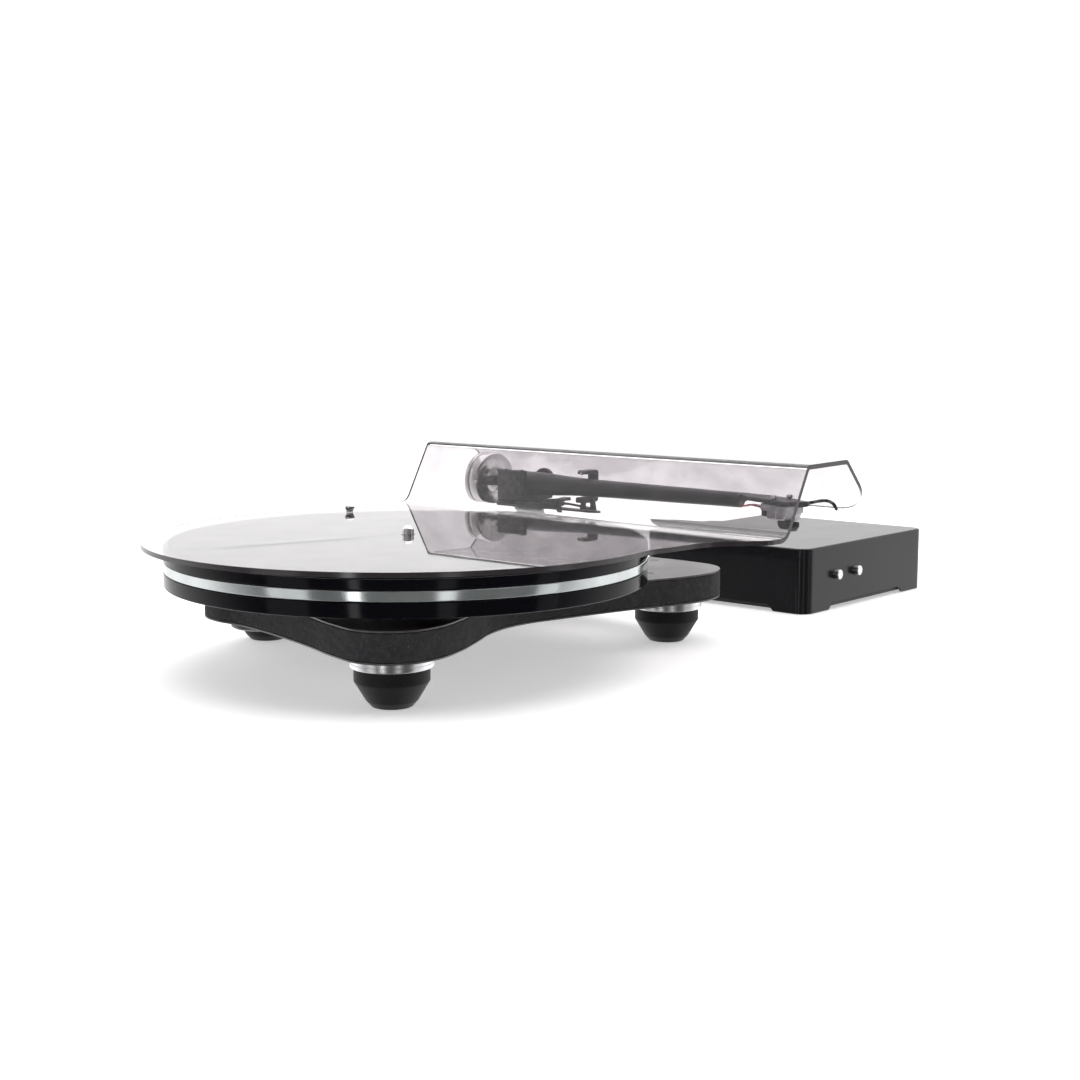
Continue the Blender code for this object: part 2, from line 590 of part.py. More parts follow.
def arm_tube(tilt):
    """One casting: pivot block, flared root, tapering tube and flat headshell."""
    y0 = PIVOT[1]
    stations = [(TUBE_REAR, 0.0070), (0.0955, 0.0086), (0.0660, 0.0086), (0.0540, 0.0080), (0.0380, 0.0070),
                (0.0200, 0.0064), (-0.0400, 0.0058), (TUBE_FRONT, 0.0051)]
    profile = [(0.0, TUBE_REAR - y0)] + [(radius, y - y0) for y, radius in stations]
    profile.append((0.0, TUBE_FRONT - y0))
    tube = turned("arm_tube", profile, (0.0, 0.0, 0.0), ARM_FINISH, tilt, 16, (-math.pi / 2, 0.0, 0.0))
    half = 0.0095
    neck = 0.0050
    outline = [(-0.006, -0.0042), (0.008, -neck), (0.020, -half), (HEAD_LENGTH - 0.004, -half),
               (HEAD_LENGTH, -half + 0.004), (HEAD_LENGTH, half - 0.004), (HEAD_LENGTH - 0.004, half),
               (0.020, half), (0.008, neck), (-0.006, 0.0042)]
    curve = flat_curve("headshell", [outline], 0.0034)
    head = as_mesh(place_piece("headshell", curve, ARM_FINISH, (0.0, TUBE_FRONT - y0, 0.0033), tilt,
                               (0.0, 0.0, -math.pi / 2 - HEAD_OFFSET)))
    combine(tube, head, "UNION")
    hole = turned("tilt pin hole", drum(TILT_PIN_RADIUS + GAP, 0.0400), (0.0, 0.0, 0.0), STEEL, tilt, 20,
                  (0.0, math.pi / 2, 0.0))
    combine(tube, hole, "DIFFERENCE")
    for side in (-1, 1):
        screw_hole = turned("cartridge screw hole", drum(SCREW_SHANK + 0.0002, 0.0200),
                            (*head_point(SCREW_REACH, side * SCREW_SIDE), 0.0), STEEL, tilt, 12)
        combine(tube, screw_hole, "DIFFERENCE")


def head_point(reach, side):
    """A place on the headshell, by its distance along it and to its outer side."""
    heading = -math.pi / 2 - HEAD_OFFSET
    x = reach * math.cos(heading) - side * math.sin(heading)
    y = TUBE_FRONT - PIVOT[1] + reach * math.sin(heading) + side * math.cos(heading)
    return (x, y)


def arm_details(tilt):
    """The tilt pin, rear shaft, cartridge, its screws, leads and guard, and the finger lift."""
    turned("tilt_pivot_pin", drum(TILT_PIN_RADIUS, TILT_PIN_LENGTH), (0.0, 0.0, 0.0), STEEL, tilt, 16,
           (0.0, math.pi / 2, 0.0))
    rear = TUBE_REAR - PIVOT[1] + GAP
    shaft = [(0.0, 0.0380), (0.0036, 0.0380), (0.0040, 0.0376), (0.0040, 0.0), (0.0, 0.0)]
    turned("weight_shaft", shaft, (0.0, rear, 0.0), STEEL, tilt, 16, (-math.pi / 2, 0.0, 0.0))
    turn = (0.0, 0.0, -math.pi / 2 - HEAD_OFFSET)
    body = place_piece("cartridge_body", box_mesh("cartridge_body", CARTRIDGE_SIZE), GREY_PLASTIC,
                       (*head_point(CARTRIDGE_REACH, 0.0), CARTRIDGE_TOP - CARTRIDGE_SIZE[2] / 2), tilt, turn)
    round_edges(body, 0.0008, 1)
    guard_top = CARTRIDGE_TOP - CARTRIDGE_SIZE[2] - GAP
    guard = place_piece("stylus_guard", box_mesh("stylus_guard", GUARD_SIZE), PLASTIC,
                        (*head_point(GUARD_REACH, 0.0), guard_top - GUARD_SIZE[2] / 2), tilt, turn)
    round_edges(guard, 0.0018, 1)
    for name, side in (("left", -SCREW_SIDE), ("right", SCREW_SIDE)):
        shank = [(0.0, 0.0075), (0.0020, 0.0075), (0.0022, 0.0070), (0.0022, 0.0053), (SCREW_SHANK, 0.0053),
                 (SCREW_SHANK, CARTRIDGE_TOP + GAP), (0.0, CARTRIDGE_TOP + GAP)]
        turned(f"cartridge_screw_{name}", shank, (*head_point(SCREW_REACH, side), 0.0), STEEL, tilt, 12)
    leads = (("red", -0.0045, -0.0018), ("white", -0.0015, -0.0018), ("green", 0.0015, -0.0050),
             ("blue", 0.0045, -0.0050))
    for colour, side, height in leads:
        start = head_point(0.0030, side * 0.5)
        middle = head_point(0.0170, side * 1.2)
        end = head_point(CARTRIDGE_REACH - CARTRIDGE_SIZE[0] / 2 - GAP, side)
        ramp = [Vector((*start, -0.0034)), Vector((*middle, height * 0.5 - 0.0006)),
                Vector((*middle, height)) * 0.4 + Vector((*end, height)) * 0.6, Vector((*end, height))]
        rod(f"cartridge_lead_{colour}", ramp, LEAD_RADIUS, LEAD_FINISH[colour], tilt)
    lift_points = [(0.0590, 0.0112, 0.0035), (0.0640, 0.0150, 0.0050), (0.0670, 0.0190, 0.0052),
                   (0.0690, 0.0225, 0.0030), (0.0700, 0.0245, -0.0010)]
    rod("finger_lift", [(*head_point(reach, side), height) for reach, side, height in lift_points],
        FINGER_WIRE, DARK_METAL, tilt)


def counterweight(axis):
    bore = 0.0043
    soft = 0.0015
    groove_at = 0.0088
    profile = [(bore, WEIGHT_LENGTH), (WEIGHT_RADIUS - soft, WEIGHT_LENGTH),
               (WEIGHT_RADIUS, WEIGHT_LENGTH - soft),
               (WEIGHT_RADIUS, groove_at + 0.0006), (WEIGHT_RADIUS - 0.0012, groove_at + 0.0006),
               (WEIGHT_RADIUS - 0.0012, groove_at - 0.0006), (WEIGHT_RADIUS, groove_at - 0.0006),
               (WEIGHT_RADIUS, soft), (WEIGHT_RADIUS - soft, 0.0), (0.0095, 0.0), (0.0090, 0.0030),
               (bore, 0.0030)]
    turned("counterweight", profile, (0.0, 0.0, 0.0), STEEL, axis, 28, (-math.pi / 2, 0.0, 0.0))


# ---- dust cover ---------------------------------------------------------------------------
def bent_section():
    """The hood's outer line in X and Z, with an arc in place of each fold."""
    corners = [(FOLD_X - 0.012, COVER_TOP), (FOLD_X, COVER_TOP), *HOOD_SECTION]
    bends = (0.0, 0.0100, 0.0050, 0.0050)
    line = []
    for number in range(1, len(corners) - 1):
        here = Vector(corners[number])
        before = (Vector(corners[number - 1]) - here).normalized()
        after = (Vector(corners[number + 1]) - here).normalized()
        half = math.acos(max(-1.0, min(1.0, before.dot(after)))) / 2
        reach = bends[number] / math.tan(half)
        start = here + before * reach
        end = here + after * reach
        for step in range(4):
            share = step / 3
            line.append(start.lerp(here, share).lerp(here.lerp(end, share), share))
    return line + [Vector(corners[-1])]


def cover_outline(fold_start):
    """The flat sheet's edge: a circle that flares into straight ends at the hood."""
    rear_angle = math.asin(0.1430 / COVER_RADIUS)
    front_angle = math.radians(280.0)
    edge = [(fold_start, HOOD_FRONT), (fold_start, HOOD_REAR), (0.1080, 0.1432)]
    edge += arc((0.0, 0.0), COVER_RADIUS, rear_angle, front_angle, 60)
    return edge + [(0.0620, -0.1602), (0.0860, -0.1625), (0.1020, -0.1690), (0.1140, -0.1790),
                   (0.1240, -0.1862)]


def dust_cover(lift):
    section = bent_section()
    mesh = bpy.data.meshes.new("dust_cover")
    sheet = bmesh.new()
    outline = [sheet.verts.new((x, y, COVER_TOP)) for x, y in cover_outline(section[0].x)]
    sheet.faces.new(outline)
    front, rear = outline[0], outline[1]
    for point in section[1:-1]:
        next_front = sheet.verts.new((point.x, HOOD_FRONT, point.y))
        next_rear = sheet.verts.new((point.x, HOOD_REAR, point.y))
        sheet.faces.new((front, next_front, next_rear, rear))
        front, rear = next_front, next_rear
    top, low = section[-2], section[-1]
    slant = (low - top).normalized()
    depth = (low - top).length
    wall = [(depth - HOOD_CORNER + HOOD_CORNER * math.sin(a), HOOD_FRONT + HOOD_CORNER * (1 - math.cos(a)))
            for a in [math.pi / 2 * i / 5 for i in range(6)]]
    wall += [(down, HOOD_REAR + HOOD_FRONT - y) for down, y in reversed(wall)]
    free = [sheet.verts.new((top.x + slant.x * down, y, top.y + slant.y * down)) for down, y in wall]
    sheet.faces.new([front, *free, rear])
    bmesh.ops.recalc_face_normals(sheet, faces=sheet.faces)
    sheet.faces.ensure_lookup_table()
    if sheet.faces[0].normal.z < 0:
        bmesh.ops.reverse_faces(sheet, faces=sheet.faces)
    sheet.to_mesh(mesh)
    sheet.free()
    cover = place_piece("dust_cover", mesh, ACRYLIC, (0.0, 0.0, 0.0), lift)
    solidify = cover.modifiers.new("sheet", "SOLIDIFY")
    solidify.thickness = COVER_SHEET
    solidify.offset = -1.0
    solidify.use_even_offset = True
    hole = turned("spindle hole", [(0.0, 0.09), (0.0044, 0.09), (0.0044, 0.07), (0.0, 0.07)],
                  (0.0, 0.0, 0.0), STEEL, lift, 24)
    combine(cover, hole, "DIFFERENCE")
    foot = COVER_TOP + GAP
    knob = [(0.0, foot + 0.0056), (0.0020, foot + 0.0052), (0.0036, foot + 0.0038), (0.0036, foot + 0.0026),
            (0.0026, foot + 0.0014), (0.0026, foot), (0.0, foot)]
    turned("cover_knob", knob, (*KNOB, 0.0), STEEL, lift, 20)


# ---- power box -----------------------------------------------------------------------------
SOCKET_PLACES = {"power_socket": 0.0400, "motor_outlet": 0.1300}
REAR_SOCKET_HEIGHT = 0.0240
REAR_SOCKET_RADIUS = 0.0060


def power_case(box):
    width, depth, height = BOX_SIZE
    corner = 0.0100
    low = 0.0005
    outline = rounded_rectangle((width, depth), corner, (width / 2, depth / 2))
    mesh = bpy.data.meshes.new("power_case")
    shell = bmesh.new()
    soft = 0.0012
    rings = [(low, 0.0), (height - soft, 0.0), (height, soft)]
    loops = []
    for level, inset in rings:
        ring = []
        for x, y in outline:
            dx, dy = x - width / 2, y - depth / 2
            ring.append(shell.verts.new((width / 2 + dx * (1 - 2 * inset / width),
                                         depth / 2 + dy * (1 - 2 * inset / depth), level)))
        loops.append(ring)
    count = len(outline)
    for below, above in zip(loops, loops[1:]):
        for i in range(count):
            shell.faces.new((below[i], below[(i + 1) % count], above[(i + 1) % count], above[i]))
    shell.faces.new(loops[-1])
    shell.to_mesh(mesh)
    shell.free()
    case = place_piece("power_case", mesh, BOX_BLACK, (0.0, 0.0, 0.0), box)
    solidify = case.modifiers.new("wall", "SOLIDIFY")
    solidify.thickness = BOX_WALL
    solidify.offset = -1.0
    solidify.use_even_offset = True
    front_arch = box_mesh("front arch", (width - 2 * BOX_FOOT_FRONT, depth * 2, BOX_ARCH),
                          (width / 2 + BOX_ARCH_SHIFT, depth / 2, BOX_ARCH / 2))
    side_arch = box_mesh("side arch", (width * 2, depth - 2 * BOX_FOOT_SIDE, BOX_ARCH),
                         (width / 2, depth / 2, BOX_ARCH / 2))
    for name, arch in (("front arch", front_arch), ("side arch", side_arch)):
        cutter = place_piece(name, arch, BOX_BLACK, (0.0, 0.0, 0.0), box)
        combine(case, cutter, "DIFFERENCE")
    for name, x in BUTTON_PLACES.items():
        hole = turned(f"{name} hole", drum(BUTTON_HOLE, 0.0200), (x, 0.0, BUTTON_HEIGHT), STEEL, box, 24,
                      (math.pi / 2, 0.0, 0.0))
        combine(case, hole, "DIFFERENCE")
    for name, x in SOCKET_PLACES.items():
        hole = turned(f"{name} hole", drum(REAR_SOCKET_RADIUS + GAP, 0.0200),
                      (x, depth, REAR_SOCKET_HEIGHT), STEEL, box, 24, (math.pi / 2, 0.0, 0.0))
        combine(case, hole, "DIFFERENCE")


def power_inside(box):
    width, depth, _ = BOX_SIZE
    inset = BOX_WALL + 0.0006
    slab = flat_curve("power_base", [rounded_rectangle((width - 2 * inset, depth - 2 * inset), 0.0080,
                                                       (width / 2, depth / 2))], 0.0040)
    base = as_mesh(place_piece("power_base", slab, PLASTIC, (0.0, 0.0, 0.0040), box))
    for sx in (PAD_INSET, width - PAD_INSET):
        for sy in (PAD_INSET, depth - PAD_INSET):
            pad = turned("base pad", drum(PAD_RADIUS, 0.0040), (sx, sy, 0.0020), RUBBER, box, 20)
            combine(base, pad, "UNION")
    block("power_board", (0.0900, 0.1100, 0.0016), (0.0560, 0.0720, 0.0125), BOARD_GREEN, box)
    ring = [(0.0110, 0.0300), (0.0300, 0.0300), (0.0320, 0.0280), (0.0320, 0.0090), (0.0300, 0.0070),
            (0.0110, 0.0070)]
    turned("power_transformer", ring, (0.1400, 0.0740, 0.0), COPPER, box, 24)
    bore = 0.0040
    for name, x in SOCKET_PLACES.items():
        profile = [(0.0, 0.0130), (bore + 0.0019, 0.0130), (bore + 0.0019, 0.0), (bore, 0.0),
                   (bore, 0.0110), (0.0, 0.0110)]
        turned(name, profile, (x, depth, REAR_SOCKET_HEIGHT), PLASTIC, box, 20, (math.pi / 2, 0.0, 0.0))


def button(name, axis):
    soft = 0.0006
    profile = [(0.0, 0.0046), (BUTTON_RADIUS - soft, 0.0046), (BUTTON_RADIUS, 0.0046 - soft),
               (BUTTON_RADIUS, -0.0060), (0.0, -0.0060)]
    turned(name, profile, (0.0, 0.0, 0.0), ALUMINIUM, axis, 20, (math.pi / 2, 0.0, 0.0))


# ---- assembly --------------------------------------------------------------------------------
plinth()
braces()
feet()
main_bearing()
platter(frame_empty("platter_axis", (0.0, 0.0, 0.0), DECK))
motor()
motor_pulley(frame_empty("motor_axis", (*MOTOR, 0.0), DECK))
belts()

tonearm_base()
arm_rest()
lift_parts(frame_empty("lift_axis", (*LIFT_PLACE, 0.0), DECK),
           frame_empty("lever_axis", LEVER_PIVOT, DECK),
           frame_empty("bias_axis", (PIVOT[0] - 0.0161, 0.0880, 0.0781), DECK))
SWING = frame_empty("swing_axis", (*PIVOT, 0.0), DECK)
yoke(SWING)
tracking_dial(frame_empty("dial_axis", (0.0173, 0.0, ARM_HEIGHT + 0.0005), SWING))
TILT = frame_empty("tilt_axis", (0.0, 0.0, ARM_HEIGHT), SWING)
arm_tube(TILT)
arm_details(TILT)
counterweight(frame_empty("weight_axis", (0.0, WEIGHT_FRONT - PIVOT[1], 0.0), TILT))

dust_cover(frame_empty("cover_axis", (0.0, 0.0, 0.0), DECK))

BOX = frame_empty("power_box", (*BOX_CORNER, 0.0), DECK)
power_case(BOX)
power_inside(BOX)
for button_name, button_x in BUTTON_PLACES.items():
    button(button_name, frame_empty(f"{button_name}_axis", (button_x, 0.0, BUTTON_HEIGHT), BOX))
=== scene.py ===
"""Looks of a skeletal belt-drive turntable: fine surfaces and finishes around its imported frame."""

import math

import bpy
import numpy as np
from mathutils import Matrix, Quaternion, Vector
from mathutils.geometry import tessellate_polygon


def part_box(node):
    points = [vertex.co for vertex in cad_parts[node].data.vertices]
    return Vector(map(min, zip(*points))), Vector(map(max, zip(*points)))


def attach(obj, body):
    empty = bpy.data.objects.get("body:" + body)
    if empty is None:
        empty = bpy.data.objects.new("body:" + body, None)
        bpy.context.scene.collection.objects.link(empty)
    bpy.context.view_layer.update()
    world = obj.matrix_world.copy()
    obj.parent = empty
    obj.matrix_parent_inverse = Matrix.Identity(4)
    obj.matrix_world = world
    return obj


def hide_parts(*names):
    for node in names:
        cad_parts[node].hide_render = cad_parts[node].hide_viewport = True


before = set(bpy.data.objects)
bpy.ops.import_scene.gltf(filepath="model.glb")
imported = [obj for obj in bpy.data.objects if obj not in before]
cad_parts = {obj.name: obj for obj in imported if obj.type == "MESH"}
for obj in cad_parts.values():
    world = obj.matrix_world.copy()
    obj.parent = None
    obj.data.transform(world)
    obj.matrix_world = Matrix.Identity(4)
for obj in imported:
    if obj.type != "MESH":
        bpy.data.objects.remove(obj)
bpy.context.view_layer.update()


def extent(node):
    """Lowest corner, highest corner, middle and half size of a frame node, as arrays."""
    low, high = (np.array(corner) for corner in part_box(node))
    return low, high, (low + high) / 2, (high - low) / 2


axle = extent("spindle")[2][:2]
arm_axis = extent("arm_pillar")[2][:2]

# ---- Studio: pale sweep, even white surround, soft panels ------------------------------
# A wide pale floor under a bright surround. The side that the viewer stands on is dimmer,
# so that black gloss stays black, and tall panels draw bright stripes on the metal.
FLOOR_HALF = 6.0
FLOOR_COLOUR = (0.93, 0.93, 0.935, 1.0)
FLOOR_GLOW = 0.45
SURROUND_BRIGHT = 1.30
SURROUND_DIM = 0.06
VIEW_TURN = math.radians(-49.09)
VIEW_RISE = math.radians(7.29)
VIEW_ROLL = math.radians(0.08)
VIEW_PLACE = (-0.8574, -0.7011, 0.2038)
VIEW_LENS = 53.33

view_back = Vector((math.sin(VIEW_TURN) * math.cos(VIEW_RISE),
                    -math.cos(VIEW_TURN) * math.cos(VIEW_RISE), math.sin(VIEW_RISE)))
camera = bpy.data.objects.new("camera", bpy.data.cameras.new("camera"))
camera.data.lens = VIEW_LENS
camera.location = VIEW_PLACE
camera.rotation_mode = "QUATERNION"
camera.rotation_quaternion = (-view_back).to_track_quat("-Z", "Y") @ Quaternion((0, 0, 1), VIEW_ROLL)
bpy.context.scene.collection.objects.link(camera)
bpy.context.scene.camera = camera
bpy.context.scene.view_settings.view_transform = "Standard"


def add(tree, kind, inputs=None, **settings):
    """A node with its settings, and each input set to a value or fed by another node's output."""
    made = tree.nodes.new(kind)
    for key, value in settings.items():
        setattr(made, key, value)
    for key, value in (inputs or {}).items():
        if isinstance(value, bpy.types.NodeSocket):
            tree.links.new(value, made.inputs[key])
        else:
            made.inputs[key].default_value = value
    return made


world = bpy.data.worlds.new("studio")
world.use_nodes = True
bpy.context.scene.world = world
sky = world.node_tree
direction = add(sky, "ShaderNodeTexCoord").outputs["Generated"]
towards_back = add(sky, "ShaderNodeVectorMath", {0: direction, 1: (-view_back.x, -view_back.y, 0.0)},
                   operation="DOT_PRODUCT").outputs["Value"]
glow = add(sky, "ShaderNodeMapRange", {"Value": towards_back, "From Min": -0.50, "From Max": 0.35,
                                       "To Min": SURROUND_DIM, "To Max": SURROUND_BRIGHT},
           interpolation_type="SMOOTHSTEP").outputs["Result"]
sky.links.new(glow, sky.nodes["Background"].inputs["Strength"])
sky.nodes["Background"].inputs["Color"].default_value = (1.0, 0.992, 0.996, 1.0)


def panel(name, place, aim, size, power):
    """A soft area light of that width and height that looks at a point."""
    lamp = bpy.data.objects.new(name, bpy.data.lights.new(name, "AREA"))
    lamp.data.shape = "RECTANGLE"
    lamp.data.size, lamp.data.size_y = size
    lamp.data.energy = power
    lamp.location = place
    lamp.rotation_mode = "QUATERNION"
    lamp.rotation_quaternion = (Vector(aim) - Vector(place)).to_track_quat("-Z", "Y")
    bpy.context.scene.collection.objects.link(lamp)


panel("overhead panel", (0.45, 0.2, 1.7), (0.0, 0.0, 0.0), (2.6, 2.4), 34.0)
panel("left strip", (-1.30, 0.15, 0.0), (-0.15, 0.0, 0.0), (0.40, 1.6), 1.5)
panel("corner strip", (-1.41, -0.51, 0.0), (0.0, 0.0, 0.0), (0.10, 1.6), 2.0)
panel("front strip", (-0.91, -1.40, 0.0), (-0.15, 0.0, 0.0), (0.22, 1.6), 1.2)
panel("right strip", (0.35, -1.45, 0.0), (0.10, 0.0, 0.0), (0.30, 1.6), 1.0)

floor_mesh = bpy.data.meshes.new("floor")
floor_mesh.from_pydata([(-FLOOR_HALF, -FLOOR_HALF, 0), (FLOOR_HALF, -FLOOR_HALF, 0),
                        (FLOOR_HALF, FLOOR_HALF, 0), (-FLOOR_HALF, FLOOR_HALF, 0)], [], [(0, 1, 2, 3)])
floor = bpy.data.objects.new("floor", floor_mesh)
floor_paint = bpy.data.materials.new("pale floor")
floor_paint.use_nodes = True
floor_shader = floor_paint.node_tree.nodes["Principled BSDF"]
floor_shader.inputs["Base Color"].default_value = FLOOR_COLOUR
floor_shader.inputs["Roughness"].default_value = 0.9
floor_shader.inputs["Specular IOR Level"].default_value = 0.0
floor_shader.inputs["Emission Color"].default_value = (1.0, 1.0, 1.0, 1.0)
floor_shader.inputs["Emission Strength"].default_value = FLOOR_GLOW
floor_mesh.materials.append(floor_paint)
floor.visible_glossy = False
bpy.context.scene.collection.objects.link(floor)

# ---- Feet: turned aluminium rings over tapered rubber ----------------------------------
# Three feet carry the plinth. Each is a bar-turned, polished aluminium ring glued under the
# plinth, and a moulded rubber cone with a slight step and a round lower rim.
RING_CHAMFER = 0.0005
RING_GROOVE = 0.00025
RUBBER_SOFT = 0.0009


def rounded(corners, radii, closed=False, steps=6):
    """A line through corners, each turned as an arc of its radius: the arc's middle lies on the
    corner's bisector, and its points are the slerp of the two spokes to the straight runs."""
    corners = np.asarray(corners, float)
    radii = np.broadcast_to(np.asarray(radii, float), len(corners))
    before = np.roll(corners, 1, 0) - corners
    after = np.roll(corners, -1, 0) - corners
    room = 0.49 * np.minimum(np.linalg.norm(before, axis=1), np.linalg.norm(after, axis=1))
    before /= np.linalg.norm(before, axis=1)[:, None] + 1e-12
    after /= np.linalg.norm(after, axis=1)[:, None] + 1e-12
    half = np.arccos(np.clip((before * after).sum(1), -1, 1)) / 2
    half = np.clip(half, 0.02, math.pi / 2 - 0.002)
    reach = np.minimum(radii / np.tan(half), room)
    bisector = before + after
    bisector /= np.linalg.norm(bisector, axis=1)[:, None] + 1e-12
    middle = corners + bisector * (reach / np.cos(half))[:, None]
    spoke_in = corners + before * reach[:, None] - middle
    spoke_out = corners + after * reach[:, None] - middle
    sweep = math.pi - 2 * half
    share = np.linspace(0, 1, steps + 1)
    first = np.sin((1 - share) * sweep[:, None]) / np.sin(sweep)[:, None]
    last = np.sin(share * sweep[:, None]) / np.sin(sweep)[:, None]
    arcs = middle[:, None] + first[..., None] * spoke_in[:, None] + last[..., None] * spoke_out[:, None]
    if not closed:
        arcs[0], arcs[-1] = corners[0], corners[-1]
    line = arcs.reshape(-1, corners.shape[1])
    step = np.linalg.norm(line - np.roll(line, 1, 0), axis=1)
    step[0] = max(step[0], 1.0) if not closed else step[0]
    return line[step > 1e-7]


def turned(profile, centre, along=(0.0, 0.0, 1.0), steps=128):
    """Rings of a turned shape: a profile point (r, h) goes round as
    centre + r cos(t) side + r sin(t) other + h along."""
    along = np.asarray(along, float)
    side = np.cross(along, (1.0, 0.0, 0.0) if abs(along[0]) < 0.9 else (0.0, 1.0, 0.0))
    side /= np.linalg.norm(side)
    other = np.cross(along, side)
    turn = np.linspace(0, math.tau, steps, endpoint=False)[:, None]
    circle = np.cos(turn) * side + np.sin(turn) * other
    profile = np.asarray(profile, float)
    return np.asarray(centre) + profile[:, 0, None, None] * circle + profile[:, 1, None, None] * along


def skin(rows, joined=False):
    """Rings laid one above another as (points, corners, sizes, uv): quads between each two rings,
    and a cap on both ends or the last ring joined to the first. In uv, v is the length run."""
    count, around = rows.shape[:2]
    number = np.arange(count * around).reshape(count, around)
    lower = number if joined else number[:-1]
    upper = np.roll(number, -1, 0) if joined else number[1:]
    quads = np.stack([lower, np.roll(lower, -1, 1), np.roll(upper, -1, 1), upper], -1)
    run = np.linalg.norm(np.diff(rows[:, 0], axis=0), axis=1)
    if joined:
        run = np.append(run, np.linalg.norm(rows[0, 0] - rows[-1, 0]))
    run = np.concatenate([[0], np.cumsum(run)])
    u = np.arange(around + 1) / around
    low_v, high_v = run[:len(lower), None], run[1:len(lower) + 1, None]
    pairs = [(u[:-1], low_v), (u[1:], low_v), (u[1:], high_v), (u[:-1], high_v)]
    uv = np.stack([np.stack(np.broadcast_arrays(a, b), -1) for a, b in pairs], 2).reshape(-1, 2)
    corners, sizes = quads.reshape(-1), np.full(quads.size // 4, 4)
    if not joined:
        corners = np.concatenate([corners, number[0, ::-1], number[-1]])
        sizes = np.append(sizes, [around, around])
        ends = [np.column_stack([u[:-1], np.full(around, v)]) for v in (run[0], run[-1])]
        uv = np.concatenate([uv, *ends])
    return rows.reshape(-1, 3), corners, sizes, uv


def edge_mask(mesh):
    """Store on each point how hard the surface turns there: the widest angle between the point's
    normal and its faces' normals, from 0 at 3 degrees to 1 at 9 degrees."""
    corners = np.empty(len(mesh.loops), int)
    mesh.loops.foreach_get("vertex_index", corners)
    sizes = np.empty(len(mesh.polygons), int)
    mesh.polygons.foreach_get("loop_total", sizes)
    across = np.empty(len(mesh.polygons) * 3, np.float32)
    mesh.polygons.foreach_get("normal", across)
    out = np.empty(len(mesh.vertices) * 3, np.float32)
    mesh.vertices.foreach_get("normal", out)
    dots = (out.reshape(-1, 3)[corners] * np.repeat(across.reshape(-1, 3), sizes, 0)).sum(1)
    least = np.ones(len(mesh.vertices))
    np.minimum.at(least, corners, dots)
    angle = np.degrees(np.arccos(np.clip(least, -1, 1)))
    mesh.attributes.new("edge", "FLOAT", "POINT").data.foreach_set("value", np.clip((angle - 3) / 6, 0, 1))


def piece(name, surfaces, finish, body, stands_for=(), crease=38.0):
    """One object from its surfaces, smooth but for creases sharper than the given angle. It rides on a body,
    stands for frame nodes and carries its finish."""
    starts = np.cumsum([0] + [len(s[0]) for s in surfaces])
    points = np.concatenate([s[0] for s in surfaces])
    corners = np.concatenate([s[1] + start for s, start in zip(surfaces, starts)])
    sizes = np.concatenate([s[2] for s in surfaces])
    mesh = bpy.data.meshes.new(name)
    mesh.vertices.add(len(points))
    mesh.vertices.foreach_set("co", points.astype(np.float32).ravel())
    mesh.loops.add(len(corners))
    mesh.loops.foreach_set("vertex_index", corners.astype(np.int32))
    mesh.polygons.add(len(sizes))
    mesh.polygons.foreach_set("loop_start", (np.cumsum(sizes) - sizes).astype(np.int32))
    mesh.update(calc_edges=True)
    layer = mesh.uv_layers.new(name="UVMap")
    layer.data.foreach_set("uv", np.concatenate([s[3] for s in surfaces]).astype(np.float32).ravel())
    mesh.shade_smooth()
    mesh.set_sharp_from_angle(angle=math.radians(crease))
    edge_mask(mesh)
    mesh.materials.append(finish)
    made = bpy.data.objects.new(name, mesh)
    bpy.context.scene.collection.objects.link(made)
    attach(made, body)
    if stands_for:
        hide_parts(*stands_for)
    return made


def effect(name, inputs, outputs):
    """A new shader node group with named sockets; returns it and its input and output nodes."""
    group = bpy.data.node_groups.new(name, "ShaderNodeTree")
    for socket, kind, value in inputs:
        made = group.interface.new_socket(name=socket, in_out="INPUT", socket_type=kind)
        if value is not None:
            made.default_value = value
    for socket, kind in outputs:
        group.interface.new_socket(name=socket, in_out="OUTPUT", socket_type=kind)
    return group, group.nodes.new("NodeGroupInput"), group.nodes.new("NodeGroupOutput")


FLOAT, COLOUR, VECTOR = "NodeSocketFloat", "NodeSocketColor", "NodeSocketVector"

# Speckle: fine noise picks flecks out of a base colour, and a slow one drifts the gloss.
speckle, took, gave = effect(
    "speckle",
    [("Vector", VECTOR, None), ("Base", COLOUR, (0.1, 0.1, 0.1, 1)), ("Fleck", COLOUR, (0.2, 0.2, 0.2, 1)),
     ("Scale", FLOAT, 900.0), ("Cover", FLOAT, 0.5), ("Gloss", FLOAT, 0.5), ("Gloss Drift", FLOAT, 0.05)],
    [("Color", COLOUR), ("Roughness", FLOAT), ("Height", FLOAT)])
fine = add(speckle, "ShaderNodeTexNoise", {"Vector": took.outputs["Vector"], "Scale": took.outputs["Scale"],
                                           "Detail": 4.0, "Roughness": 0.65})
slow = add(speckle, "ShaderNodeTexNoise", {"Vector": took.outputs["Vector"], "Scale": 38.0, "Detail": 3.0})
cut = add(speckle, "ShaderNodeMath", {0: 0.78, 1: took.outputs["Cover"]}, operation="SUBTRACT")
top = add(speckle, "ShaderNodeMath", {0: cut.outputs[0], 1: 0.16}, operation="ADD")
fleck = add(speckle, "ShaderNodeMapRange", {"Value": fine.outputs["Fac"], "From Min": cut.outputs[0],
                                            "From Max": top.outputs[0]})
tone = add(speckle, "ShaderNodeMix", {"Factor": fleck.outputs["Result"], "A": took.outputs["Base"],
                                      "B": took.outputs["Fleck"]}, data_type="RGBA")
shade = add(speckle, "ShaderNodeMapRange", {"Value": slow.outputs["Fac"], "From Min": 0.3, "From Max": 0.7,
                                            "To Min": 0.90, "To Max": 1.10})
